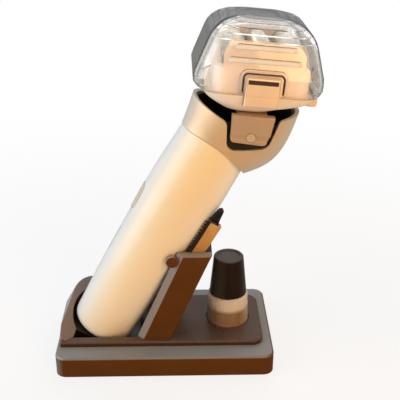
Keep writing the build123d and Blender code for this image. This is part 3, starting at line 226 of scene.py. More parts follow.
@dataclass(frozen=True)
class Finish:
    """One finish: its colour, gloss and fine relief, with sizes in millimetres, and the highlights, sheen
    and shade painted on its colour.
    """

    name: str
    slot: str
    colour: str
    pattern: Pattern = Pattern.MOULDED
    roughness: float = 0.45
    metallic: float = 0.0
    ior: float = 1.5
    coat: float = 0.0
    transmission: float = 0.0
    alpha: float = 1.0
    subsurface: float = 0.0
    grain_mm: float = 0.5
    relief_mm: float = 0.02
    mottle: float = 0.05
    mottle_mm: float = 14.0
    gloss_change: float = 0.05
    edge_mm: float = 0.25
    # How much lighter the painted highlight makes the edges.
    edge_light: float = 1.25
    # Colour painted on where the surface is seen at a slant: a sheen on most finishes, dark edges on the
    # clear cap.
    painted_slant_tone: str = ""
    painted_slant_from: float = 0.45
    painted_slant_to: float = 0.95
    smoke: float = 0.0
    # Grey painted on faces turned to the window: a painted sheen, and its share.
    painted_sheen: str = ""
    painted_sheen_share: float = 0.45
    specular: float = 0.5
    lets_light: float = 0.0
    wetted: str = ""
    wetted_to_mm: float = 0.0

    def material(self) -> bpy.types.Material:
        """Builds the node material.

        Returns:
            The material, named for its finish.
        """
        made = bpy.data.materials.new(self.name)
        made.use_nodes = True
        tree = made.node_tree
        tree.nodes.clear()
        place = add_node(tree, "TexCoord").outputs["Object"]
        shader = add_node(tree, "BsdfPrincipled", {}, {
            "Metallic": self.metallic, "Coat Weight": self.coat, "Coat Roughness": COAT_ROUGHNESS,
            "Transmission Weight": self.transmission, "Alpha": self.alpha,
            "Subsurface Weight": self.subsurface, "Subsurface Radius": SCATTER_SHARES,
            "Subsurface Scale": SCATTER_REACH, "Specular IOR Level": self.specular})
        if not self.metallic:
            shader.inputs["IOR"].default_value = self.ior
        output = add_node(tree, "OutputMaterial", {}, {"Surface": shader.outputs[0]})
        if self.lets_light:
            shadow_ray = add_node(tree, "LightPath").outputs["Is Shadow Ray"]
            thin = ranged(tree, shadow_ray, 0.0, 1.0, self.alpha, self.alpha - self.lets_light)
            tree.links.new(thin, shader.inputs["Alpha"])
        if self.smoke:
            wall = add_node(tree, "VolumeAbsorption", {}, {
                "Color": linear(SMOKE_TINT), "Density": self.smoke})
            tree.links.new(wall.outputs[0], output.inputs["Volume"])
        clouds = add_node(tree, "TexNoise", {}, {
            "Vector": place, "Scale": 1 / (self.mottle_mm * MM), "Detail": 3.0,
            "Roughness": 0.55}).outputs[0]
        gloss = ranged(tree, clouds, *CLOUD_SPAN, self.roughness - self.gloss_change,
                       self.roughness + self.gloss_change)
        tree.links.new(gloss, shader.inputs["Roughness"])
        tone = self.body_tone(tree, place, clouds)
        bump = {"Height": self.relief(tree, place), "Distance": self.relief_mm * MM,
                "Strength": BUMP_STRENGTH}
        # Rounded edges feed the bump, and carry a painted highlight.
        if self.edge_mm and not self.transmission:
            rounded = add_node(tree, "Bevel", {"samples": 4}, {"Radius": self.edge_mm * MM}).outputs[0]
            tone = self.edge_highlight_tone(tree, tone, rounded)
            bump["Normal"] = rounded
        tree.links.new(tone, shader.inputs["Base Color"])
        tree.links.new(add_node(tree, "Bump", {}, bump).outputs[0], shader.inputs["Normal"])
        return made

    def body_tone(self, tree: Tree, place: Socket, clouds: Socket) -> Socket:
        """Adds the mottled colour, the oil's tone below its level, and the painted colour at a slant: a
        sheen on most finishes, dark edges on the clear cap.

        Args:
            tree: The material's node tree.
            place: Object coordinates.
            clouds: Soft noise.

        Returns:
            The colour socket.
        """
        colour = linear(self.colour)
        tone = blend(tree, clouds, shade(colour, 1 - self.mottle), shade(colour, 1 + self.mottle))
        if self.wetted:
            up = add_node(tree, "SeparateXYZ", {}, {0: place}).outputs[2]
            below = ranged(tree, up, (self.wetted_to_mm + WET_EDGE_MM) * MM,
                           (self.wetted_to_mm - WET_EDGE_MM) * MM)
            tone = blend(tree, below, tone, linear(self.wetted))
        # Painted colour at a slant: a sheen on most finishes, the dark edges on the clear cap.
        if self.painted_slant_tone:
            slant = add_node(tree, "LayerWeight", {}, {"Blend": 0.5}).outputs["Facing"]
            tone = blend(tree, ranged(tree, slant, self.painted_slant_from, self.painted_slant_to), tone, linear(self.painted_slant_tone))
        return tone

    def edge_highlight_tone(self, tree: Tree, tone: Socket, rounded: Socket) -> Socket:
        """Adds painted highlights on the edges, and the painted grey sheen on faces turned to the window's
        side.

        Args:
            tree: The material's node tree.
            tone: The colour so far.
            rounded: The normal with rounded edges.

        Returns:
            The colour socket.
        """
        flat = add_node(tree, "NewGeometry").outputs["Normal"]
        # Painted highlight: lighter where the rounded normal turns from the flat one.
        turn = add_node(tree, "VectorMath", {"operation": "DOT_PRODUCT"}, {0: rounded, 1: flat})
        edge_lit = ranged(tree, turn.outputs["Value"], *EDGE_HIGHLIGHT_TURN)
        tone = blend(tree, edge_lit, tone, shade(linear(self.colour), self.edge_light))
        # Painted sheen: grey on faces turned towards the window.
        if self.painted_sheen:
            side = add_node(tree, "VectorMath", {"operation": "DOT_PRODUCT"}, {0: rounded, 1: WINDOW_SIDE})
            level = ranged(tree, side.outputs["Value"], *PAINTED_SHEEN_TURN, 0.0, self.painted_sheen_share)
            tone = blend(tree, level, tone, linear(self.painted_sheen))
        return tone

    def relief(self, tree: Tree, place: Socket) -> Socket:
        """Adds the fine height pattern of this finish.

        Args:
            tree: The material's node tree.
            place: Object coordinates.

        Returns:
            The height socket.
        """
        scale = 1 / (self.grain_mm * MM)
        if self.pattern is Pattern.BLASTED:
            return add_node(tree, "TexVoronoi", {"feature": "SMOOTH_F1"}, {
                "Vector": place, "Scale": scale}).outputs["Distance"]
        if self.pattern is Pattern.DRAWN:
            along = add_node(tree, "Mapping", {}, {"Vector": place, "Scale": DRAWN_STRETCH})
            return add_node(tree, "TexNoise", {}, {
                "Vector": along.outputs[0], "Scale": scale, "Detail": 2.0}).outputs[0]
        if self.pattern is Pattern.WOUND:
            return add_node(tree, "TexWave", {"bands_direction": "Z"}, {
                "Vector": place, "Scale": scale / WAVE_SHARE}).outputs[0]
        detail = 4.0 if self.pattern is Pattern.MOULDED else 1.0
        return add_node(tree, "TexNoise", {}, {
            "Vector": place, "Scale": scale, "Detail": detail, "Roughness": 0.6}).outputs[0]


# Dark ABS from a spark-eroded mould: satin, with painted highlights on its edges and a painted grey sheen
# on faces turned to the window.
STAND_ABS = Finish("satin_dark_abs", "stand_plastic", "#5a3304", roughness=0.34, ior=1.56, grain_mm=0.45,
                   mottle=0.12, mottle_mm=9.0, edge_mm=0.5, edge_light=2.2,
                   painted_sheen="#a8a49c", painted_sheen_share=0.6, specular=0.3)
# The same moulding on the base's rim, with a stronger painted grey sheen.
RIM_ABS = replace(STAND_ABS, name="sheen_painted_dark_abs", painted_sheen="#8f9694", painted_sheen_share=0.8)
# The heel cup faces the window: a strong, pale painted grey sheen over brown.
CUP_ABS = replace(STAND_ABS, name="window_sheen_dark_abs", painted_sheen="#aeb2b2", painted_sheen_share=0.8)
# The faces behind the grip get no window light: painted shade makes them almost black, with hardly any
# painted sheen.
SHADED_ABS = replace(STAND_ABS, name="painted_shade_dark_abs", colour="#180c03", painted_sheen_share=0.02,
                     edge_light=1.2)
# The deck: a darker brown as painted shade, a weak painted sheen, and its dark gloss.
DECK_ABS = replace(STAND_ABS, name="shaded_glossy_dark_abs", colour="#42260c", roughness=0.3, painted_sheen_share=0.12)
# Silicone rubber: matt and black, it shows only as soft dull rounds.
FOOT_RUBBER = Finish("silicone_rubber", "foot_rubber", "#151413", roughness=0.8, ior=1.41, relief_mm=0.01)
# Zinc-plated steel screws and ground steel pins: bright, with faint turning lines.
PLATED_STEEL = Finish("plated_steel", "screw_steel", "#b9b9ba", Pattern.DRAWN, 0.28, 1.0, grain_mm=0.2,
                      relief_mm=0.006, edge_mm=0.15)
# Lacquered ABS grip: warm white, with a soft sheen from its clear coat; its amber face-on tone is partly
# painted warm lamp light, and its whiter slanted sides are a painted sheen.
GRIP_LACQUER = Finish("warm_white_lacquered_abs", "grip_white", "#f0d6a2", Pattern.SMOOTH, 0.38, coat=0.35,
                      grain_mm=3.0, relief_mm=0.01, mottle=0.015, mottle_mm=30.0, subsurface=0.08,
                      edge_light=1.02, painted_slant_tone="#f1f0e8", painted_slant_from=0.0, painted_slant_to=0.55)
# Bead-blasted and anodised aluminium: champagne metal that spreads highlights broadly, with a painted pale
# reflection on its slanted sides.
ANODISED = Finish("champagne_anodised_aluminium", "satin_metal", "#e2bd8a", Pattern.BLASTED, 0.42, 0.35,
                  grain_mm=0.16, relief_mm=0.004, mottle=0.03, gloss_change=0.03, edge_light=1.15,
                  painted_slant_tone="#dcd8cc", painted_slant_from=0.08, painted_slant_to=0.7)
# Satin paint with fine flake on the head's frame: paler than the metal and less mirrored.
HEAD_PAINT = Finish("satin_champagne_paint", "satin_metal", "#eee0cc", Pattern.BLASTED, 0.4, 0.1,
                    grain_mm=0.16, relief_mm=0.004, mottle=0.03, gloss_change=0.03, edge_light=1.15)
# The yoke's cheeks, darker and a little more metallic than the frame above them.
YOKE_METAL = replace(HEAD_PAINT, name="satin_champagne_yoke", colour="#c8b094", roughness=0.34,
                     metallic=0.4)
# The pin's flat end in the yoke: a small pale round, whose pale warm tone is a painted highlight.
PIVOT_STEEL = replace(PLATED_STEEL, name="satin_steel_pin", colour="#dccbb4", roughness=0.4, metallic=0.5)
# Tinted clear polycarbonate: clear face on, and dark grey where its wall is seen at a slant, which is
# painted shade for the dark edges that refraction gives, over the wall's real smoke tint.
CLEAR_PC = Finish("smoke_clear_polycarbonate", "cap_clear", "#f6f2ea", Pattern.SMOOTH, 0.045,
                  transmission=0.98, alpha=0.98, grain_mm=6.0, relief_mm=0.01, mottle=0.02,
                  gloss_change=0.01, painted_slant_tone="#2c2e33", painted_slant_from=0.3, painted_slant_to=0.82, smoke=50.0, lets_light=0.85)
# Metallic-painted ABS keys: satin gold with flake too fine to see.
GOLD_KEY = Finish("satin_gold_painted_abs", "button_gold", "#f6dfc2", Pattern.BLASTED, 0.36, 0.35,
                  grain_mm=0.12, relief_mm=0.003, mottle=0.03, coat=0.2, edge_light=1.15)
# The recess in a key: a dark brown bar of painted shade.
KEY_SLOT_SHADE = Finish("painted_shade_key_slot", "button_gold", "#3f261b", Pattern.SMOOTH, 0.45, grain_mm=1.5,
                  relief_mm=0.01)
# The cassette's frame: the warm pale block seen through the cap.
GOLD_FRAME = Finish("gold_painted_abs", "cassette_gold", "#fbece2", Pattern.BLASTED, 0.42, 0.1,
                    grain_mm=0.15, relief_mm=0.004, mottle=0.04, edge_light=1.15)
# Pale bars on the clear cap's ribs: painted highlights where the ribs catch the light.
RIB_HIGHLIGHT_PC = Finish("rib_highlight_polycarbonate", "cap_clear", "#fbf6ee", Pattern.BLASTED, 0.3, alpha=0.7,
                    subsurface=0.2, grain_mm=0.2, relief_mm=0.01, mottle=0.02)
# The cap's thick cut edge, seen along its depth as a dark brown line: partly the smoke tint, partly
# painted shade for the dark line that refraction gives there.
SMOKE_AND_SHADE_EDGE = Finish("dark_polycarbonate_edge", "cap_clear", "#3d2723", Pattern.SMOOTH, 0.2, ior=1.58,
                    grain_mm=3.0, relief_mm=0.004)
# Electroformed nickel foil: mirror bright and thin.
NICKEL_FOIL = Finish("electroformed_nickel_foil", "foil_steel", "#cfcdc8", Pattern.SMOOTH, 0.18, 1.0,
                     grain_mm=2.0, relief_mm=0.002, mottle=0.02, edge_mm=0.0)
# Ground blades and trimmer: grey, with fine lines along Y.
GROUND_STEEL = Finish("ground_stainless_steel", "blade_steel", "#a9a7a3", Pattern.DRAWN, 0.3, 1.0,
                      grain_mm=0.15, relief_mm=0.006, edge_mm=0.1)
# Black inner mouldings, which keep the collar's inside dark.
INNER_POM = Finish("black_moulded_pom", "inner_black", "#15120f", roughness=0.5, ior=1.48, grain_mm=0.6,
                   relief_mm=0.015)
# The power button: satin champagne, close to the grip.
BUTTON_ABS = Finish("champagne_satin_abs", "button_grey", "#ddd2bc", Pattern.SMOOTH, 0.3, coat=0.2,
                    grain_mm=1.5, relief_mm=0.006)
# The indicator's lens: milky, with soft light inside it.
LIGHT_PIPE = Finish("milky_light_pipe", "lens_white", "#e4e8e6", Pattern.SMOOTH, 0.22, ior=1.49,
                    subsurface=0.4, grain_mm=2.0, relief_mm=0.004, edge_mm=0.1)
# Charging pins: small bright yellow tips.
PLATED_BRASS = Finish("plated_brass", "contact_brass", "#d6b069", Pattern.DRAWN, 0.25, 1.0, grain_mm=0.2,
                      relief_mm=0.004, edge_mm=0.1)
# The motor's coil: red-brown wire in level turns.
COPPER_WIRE = Finish("enamelled_copper_wire", "coil_copper", "#b0612f", Pattern.WOUND, 0.3, 0.9,
                     grain_mm=0.25, relief_mm=0.1, coat=0.4, edge_mm=0.2)
# The drive magnet: a bright mirror-like block.
MAGNET_NICKEL = Finish("nickel_plated_magnet", "magnet_metal", "#b4b4b8", Pattern.SMOOTH, 0.2, 1.0,
                       grain_mm=3.0, relief_mm=0.004)
# The cell's shrunk sleeve: blue and glossy, with a faint waviness.
CELL_SLEEVE = Finish("shrunk_pvc_sleeve", "cell_sleeve", "#3c5670", Pattern.SMOOTH, 0.35, coat=0.3,
                     grain_mm=4.0, relief_mm=0.04)
# The board's solder mask: green, cloudy and glossy.
SOLDER_MASK = Finish("green_solder_mask", "board_green", "#1f5a38", roughness=0.35, coat=0.3, grain_mm=1.2,
                     relief_mm=0.03, mottle=0.15, mottle_mm=4.0)
# Natural polypropylene: milky, and darker up to the oil's level, with a painted pale sheen on its slanted
# sides.
BOTTLE_PP = Finish("frosted_polypropylene", "bottle_clear", "#fbefdf", Pattern.SMOOTH, 0.26, ior=1.49,
                   transmission=0.5, alpha=0.85, lets_light=0.6, wetted="#b89a78", wetted_to_mm=22.0,
                   grain_mm=1.8, relief_mm=0.05, mottle=0.03, gloss_change=0.03, painted_slant_tone="#fdf4e8",
                   painted_slant_from=0.3)
# The oil: clear brown, seen only through the bottle.
LIGHT_OIL = Finish("light_mineral_oil", "oil_clear", "#7c5c3a", Pattern.SMOOTH, 0.05, ior=1.47,
                   transmission=0.85, grain_mm=8.0, relief_mm=0.01, gloss_change=0.01)
# The spout under the lid: waxy off-white.
SPOUT_PE = Finish("natural_polyethylene", "spout_plastic", "#dcd8cc", Pattern.SMOOTH, 0.4, subsurface=0.3,
                  grain_mm=2.0, relief_mm=0.01, edge_mm=0.1)
# The lid: black with a brown cast, a painted grey sheen on its top, and painted highlights on its edges.
LID_PP = Finish("black_moulded_pp", "cap_black", "#20160e", roughness=0.3, ior=1.49, grain_mm=0.35,
                relief_mm=0.012, mottle=0.08, edge_mm=0.3, edge_light=1.8, painted_sheen="#96948e",
                painted_sheen_share=0.22)
# The brush's block: amber where it is thick, with a painted pale sheen on its slanted sides.
BRUSH_PS = Finish("amber_clear_polystyrene", "brush_clear", "#e4b066", Pattern.SMOOTH, 0.2, ior=1.59,
                  transmission=0.45, grain_mm=3.0, mottle=0.12, mottle_mm=5.0,
                  painted_slant_tone="#f6e6c4", painted_slant_from=0.35)
# The strip that holds the brush's side tufts: matt and almost black.
BRUSH_STRIP = Finish("dark_moulded_pa", "brush_dark", "#1a120c", roughness=0.5, ior=1.53)
# Drawn strands: dark, each a little different from the next.
NYLON_STRAND = Finish("drawn_nylon_strand", "bristle_nylon", "#251c15", Pattern.DRAWN, 0.35, ior=1.53,
                      grain_mm=0.3, relief_mm=0.004, mottle=0.25, mottle_mm=1.2, edge_mm=0.0)


class Wardrobe:
    """Makes each finish once, and dresses CAD nodes and new pieces in it."""

    def __init__(self, frame: dict) -> None:
        """Keeps the frame's nodes.
        """
        self.nodes = frame["nodes"]
        self.made: dict[str, bpy.types.Material] = {}

    def material(self, finish: Finish) -> bpy.types.Material:
        """Returns the finish's material, built the first time it is asked for."""
        if finish.name not in self.made:
            self.made[finish.name] = finish.material()
        return self.made[finish.name]

    def dress(self, finish: Finish, *names: str) -> None:
        """Puts a finish on CAD nodes.

        Args:
            finish: What they are made of.
            names: CAD node names.
        """
        for name in names:
            node = self.nodes[name]
            node.data.materials.clear()
            node.data.materials.append(self.material(finish))
            LOG.info("dressed %s in %s", name, finish.name)

    def piece(self, mesh: bpy.types.Mesh, finish: Finish, body: str,
              *stands_for: str) -> bpy.types.Object:
        """Makes a new piece that rides on a CAD body.

        Args:
            mesh: Its mesh, in place, which has the piece's name.
            finish: What it is made of.
            body: The CAD body it moves with.
            stands_for: CAD nodes that it replaces.

        Returns:
            The piece.
        """
        piece = bpy.data.objects.new(mesh.name, mesh)
        bpy.context.scene.collection.objects.link(piece)
        mesh.materials.append(self.material(finish))
        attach(piece, body)
        if stands_for:
            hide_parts(*stands_for)
        LOG.info("built %s on %s", mesh.name, body)
        return piece


@dataclass(frozen=True)
class Tilted:
    """A working direction of the part: an origin in mm, and the lean of its up axis in the XZ plane."""

    origin: Vec
    lean: float

    def place(self, local: np.ndarray) -> np.ndarray:
        """Turns local millimetres into frame metres.

        Formula: the origin, plus across (cos lean, 0, -sin lean), plus up (sin lean, 0, cos lean).

        Args:
            local: Rows of across, along Y and up.

        Returns:
            Points as rows of x, y and z.
        """
        lean = math.radians(self.lean)
        across, along_y, up = local.T
        x = self.origin[0] + across * math.cos(lean) + up * math.sin(lean)
        z = self.origin[2] - across * math.sin(lean) + up * math.cos(lean)
        return np.stack([x, self.origin[1] + along_y, z], axis=-1) * MM


GRIP = Tilted((-30.3, 0.0, 17.5), 30.0)
HEAD = Tilted((44.0, 0.0, 145.5), 5.0)


def mesh_of(name: str, points: np.ndarray, faces: np.ndarray, smooth: bool = True,
            merge: bool = False) -> bpy.types.Mesh:
    """Makes a mesh from points and faces.

    Args:
        name: The mesh's name.
        points: Rows of x, y and z in metres.
        faces: Rows of corner numbers, all with the same number of corners.
        smooth: Whether its faces are shaded smooth.
        merge: Whether points in one place become one, which closes seams and poles.

    Returns:
        The mesh.
    """
    mesh = bpy.data.meshes.new(name)
    mesh.from_pydata(points.tolist(), [], faces.tolist())
    if merge:
        shell = bmesh.new()
        shell.from_mesh(mesh)
        bmesh.ops.remove_doubles(shell, verts=shell.verts, dist=0.001 * MM)
        shell.to_mesh(mesh)
        shell.free()
    mesh.polygons.foreach_set("use_smooth", np.full(len(mesh.polygons), smooth))
    mesh.validate()
    mesh.update()
    return mesh


def tubes(roots: np.ndarray, tips: np.ndarray, radius: float, sides: int, bow: np.ndarray,
          rings: int, across: tuple[int, int] = (0, 1)) -> Shape:
    """Closed tapering strands, all worked out at once.

    Formula: ring t is root + t (tip - root) + 4 t (1 - t) bow, of radius r (1 - taper t), and its
    corners stand at equal angles in the plane across the axis.

    Args:
        roots: Strand roots as across, along Y and up.
        tips: Strand tips, the same way.
        radius: A strand's radius at its root.
        sides: Corners of each ring.
        bow: Each strand's sideways bow at half length.
        rings: Rings of each strand.
        across: The two local directions that the rings lie in.

    Returns:
        Local points by strand, ring and corner as one list, and the quads between them.
    """
    t = np.linspace(0, 1, rings)[None, :, None]
    middle = roots[:, None] + t * (tips - roots)[:, None] + 4 * t * (1 - t) * bow[:, None]
    angle = 2 * np.pi * np.arange(sides) / sides
    ring = np.zeros((sides, 3))
    ring[:, across[0]], ring[:, across[1]] = np.cos(angle), np.sin(angle)
    points = middle[:, :, None] + ring * radius * (1 - STRAND_TAPER * t[..., None])
    first = np.arange(len(roots))[:, None] * rings * sides
    quads = (first[..., None] + ring_quads(rings, sides)).reshape(-1, 4)
    start = first + np.arange(sides)[::-1]
    end = first + (rings - 1) * sides + np.arange(sides)
    return points.reshape(-1, 3), np.concatenate([quads, start, end])


def ring_quads(rings: int, corners: int) -> np.ndarray:
    """Quads between rings of points that follow one another.

    Args:
        rings: How many rings there are.
        corners: Points of each ring.

    Returns:
        Rows of four point numbers.
    """
    i = np.arange(rings - 1)[:, None] * corners
    j = np.arange(corners)[None]
    after = (j + 1) % corners
    return np.stack([i + j, i + after, i + corners + after, i + corners + j], axis=-1).reshape(-1, 4)


def joined(shapes: list[Shape]) -> Shape:
    """Puts shapes together in their order.

    Args:
        shapes: Points and faces of each.

    Returns:
        All the points, and the faces between them.
    """
    starts = np.cumsum([0] + [len(points) for points, _ in shapes])
    faces = [own + start for (_, own), start in zip(shapes, starts)]
    return np.concatenate([points for points, _ in shapes]), np.concatenate(faces)


def boxes(lows: np.ndarray, highs: np.ndarray) -> Shape:
    """Closed boxes between low and high corners, as local points and quads.

    Args:
        lows: Rows of the lowest across, along Y and up.
        highs: Rows of the highest.

    Returns:
        Local points, eight a box, and the quads.
    """
    pick = np.array([[i & 1, i >> 1 & 1, i >> 2 & 1] for i in range(8)])
    points = np.where(pick[None], highs[:, None], lows[:, None])
    quads = np.array([[0, 2, 3, 1], [4, 5, 7, 6], [0, 1, 5, 4], [2, 6, 7, 3], [0, 4, 6, 2], [1, 3, 7, 5]])
    faces = np.arange(len(lows))[:, None, None] * 8 + quads[None]
    return points.reshape(-1, 3), faces.reshape(-1, 4)


@dataclass
class Stand:
    """The weighted base with its deck, heel cup, cheeks and spine."""

    def build(self, wardrobe: Wardrobe) -> None:
        """Dresses the mouldings, the feet and the screws."""
        wardrobe.dress(STAND_ABS, "cheek_near", "cheek_far")
        wardrobe.dress(RIM_ABS, "base_plinth")
        wardrobe.dress(CUP_ABS, "heel_cup")
        # Painted shade on the faces behind the grip.
        wardrobe.dress(SHADED_ABS, "spine_plate", "seat_wedge")
        wardrobe.dress(DECK_ABS, "deck_plate")
        wardrobe.dress(FOOT_RUBBER, "anti_slip_feet")
        wardrobe.dress(PLATED_STEEL, "backrest_screws")


@dataclass
class ShaverBody:
    """The shaver's grip, neck and all that its shell holds."""

    def build(self, wardrobe: Wardrobe) -> None:
        """Dresses the shell, the neck and the inner parts."""
        wardrobe.dress(GRIP_LACQUER, "grip_shell")
        wardrobe.dress(ANODISED, "neck_collar")
        wardrobe.dress(INNER_POM, "neck_plug", "chassis", "charge_socket", "board_spacers", "tact_switch")
        wardrobe.dress(FOOT_RUBBER, "neck_seal")
        wardrobe.dress(PIVOT_STEEL, "pivot_pins")
        wardrobe.dress(BUTTON_ABS, "power_button")
        wardrobe.dress(LIGHT_PIPE, "indicator_lens")
        wardrobe.dress(PLATED_BRASS, "charge_pins")
        wardrobe.dress(CELL_SLEEVE, "battery_cell")
        wardrobe.dress(SOLDER_MASK, "circuit_board")


@dataclass
class ShaverHead:
    """The tilting head with its release keys, motor and trimmer."""

    slot_half: float = 6.5
    slot_up: tuple[float, float] = (3.4, 5.2)
    slot_y: tuple[float, float] = (26.5, 27.3)
    slot_edge: float = 0.2

    def build(self, wardrobe: Wardrobe) -> None:
        """Dresses the yoke, the frame, the keys, the motor and the trimmer, and lines each key's recess
        with painted shade.
        """
        wardrobe.dress(HEAD_PAINT, "head_frame")
        wardrobe.dress(YOKE_METAL, "swivel_yoke")
        wardrobe.dress(GOLD_KEY, "release_button_near", "release_button_far", "trimmer_housing")
        wardrobe.dress(INNER_POM, "head_deck", "drive_plate", "blade_carriers")
        wardrobe.dress(GROUND_STEEL, "motor_core", "inner_blades", "trimmer_comb", "trimmer_cutter")
        wardrobe.dress(COPPER_WIRE, "motor_coil")
        wardrobe.dress(MAGNET_NICKEL, "drive_magnet")
        # A dark brown liner in each key's recess: painted shade.
        for name, side in (("near", -1), ("far", 1)):
            low_y, high_y = sorted(side * y for y in self.slot_y)
            points, faces = boxes(np.array([[-self.slot_half, low_y, self.slot_up[0]]]),
                                  np.array([[self.slot_half, high_y, self.slot_up[1]]]))
            mesh = mesh_of(f"key_slot_{name}", HEAD.place(points), faces, smooth=False)
            shade_liner = wardrobe.piece(mesh, KEY_SLOT_SHADE, f"release_{name}")
            rounding = shade_liner.modifiers.new("rounding", "BEVEL")
            rounding.width, rounding.segments = self.slot_edge * MM, 2


@dataclass
class FoilCassette:
    """The lift-off foil cassette: its frame, the comb bar and two perforated foils."""

    centres: tuple[float, float] = (-12.4, 12.4)
    radius: float = 5.6
    axis_up: float = 13.8
    foot_up: float = 8.0
    half_length: float = 20.3
    cells_round: int = 16
    cells_along: int = 36
    border: float = 1.2
    overlap: float = 0.3
    row_shift: float = 0.25
    hole: float = 0.33
    thickness: float = 0.12

    def sheet(self) -> tuple[np.ndarray, np.ndarray, np.ndarray]:
        """One flat perforated sheet, in cells across and millimetres along.

        Formula: each cell is a square ring of eight outer points at its corners and mid-sides and eight
        inner points on a circle round its middle, and rows are shifted by half a cell in turn.

        Returns:
            The share of the way round the arch, the distance along Y, and the quads.
        """
        pitch = 2 * (self.half_length - self.border) / self.cells_along
        turn = 2 * np.pi * (np.arange(8) + 0.5) / 8 - np.pi / 8
        outer = np.array([[1, 0], [1, 1], [0, 1], [-1, 1], [-1, 0], [-1, -1], [0, -1], [1, -1]]) / 2
        inner = np.stack([np.cos(turn), np.sin(turn)], axis=-1) * self.hole
        ring = np.concatenate([outer, inner])
        row, column = np.meshgrid(np.arange(self.cells_round), np.arange(self.cells_along), indexing="ij")
        column = column + 0.5 + self.row_shift * (row % 2 * 2 - 1)
        middle = np.stack([row + 0.5, column], axis=-1).reshape(-1, 1, 2)
        points = middle + ring[None]
        share = points[..., 0] / self.cells_round
        along = (points[..., 1] / self.cells_along - 0.5) * pitch * self.cells_along
        step = np.arange(8)
        quads = np.stack([step, (step + 1) % 8, (step + 1) % 8 + 8, step + 8], axis=-1)
        faces = np.arange(len(middle))[:, None, None] * 16 + quads[None]
        return share.ravel(), along.ravel(), faces.reshape(-1, 4)

    def arch(self, centre: float, share: np.ndarray) -> tuple[np.ndarray, np.ndarray]:
        """Points round one foil's arch.

        Formula: at share q they stand at (centre - r cos(pi q), axis + r sin(pi q)).

        Args:
            centre: The arch's middle across the head.
            share: Shares of the way round.

        Returns:
            Distances across and up.
        """
        turn = np.pi * share
        return centre - self.radius * np.cos(turn), self.axis_up + self.radius * np.sin(turn)

    def foils(self) -> bpy.types.Mesh:
        """Both foils as one mesh: the perforated arch, its plain end bands and straight legs.

        Returns:
            The mesh in place.
        """
        share, along, faces = self.sheet()
        edge, width = self.half_length, self.border + self.overlap
        shares = np.linspace(0, 1, self.cells_round + 1)
        count, i = len(shares), np.arange(self.cells_round)
        strip = np.stack([i + count, i + 1 + count, i + 1, i], axis=-1)
        shapes = []
        for centre in self.centres:
            across, up = self.arch(centre, share)
            shapes.append((np.column_stack([across, along, up]), faces))
            x, z = self.arch(centre, shares)
            for low, high in ((-edge, width - edge), (edge - width, edge)):
                rows = [np.column_stack([x, np.full(count, y), z]) for y in (low, high)]
                shapes.append((np.concatenate(rows), strip))
            for side in (-1, 1):
                leg = np.column_stack([np.full(4, centre + side * self.radius), [-edge, edge, edge, -edge],
                                       [self.foot_up, self.foot_up, self.axis_up, self.axis_up]])
                shapes.append((leg, np.arange(4)[None][:, ::-side]))
        points, quads = joined(shapes)
        return mesh_of("shaving_foils", HEAD.place(points), quads, merge=True)

    def build(self, wardrobe: Wardrobe) -> None:
        """Dresses the frame and comb bar, and builds the foils."""
        wardrobe.dress(GOLD_FRAME, "foil_frame")
        wardrobe.dress(NICKEL_FOIL, "comb_bar")
        foils = wardrobe.piece(self.foils(), NICKEL_FOIL, "cassette", "outer_foils")
        wall = foils.modifiers.new("wall", "SOLIDIFY")
        wall.thickness = self.thickness * MM
        wall.offset = -1.0


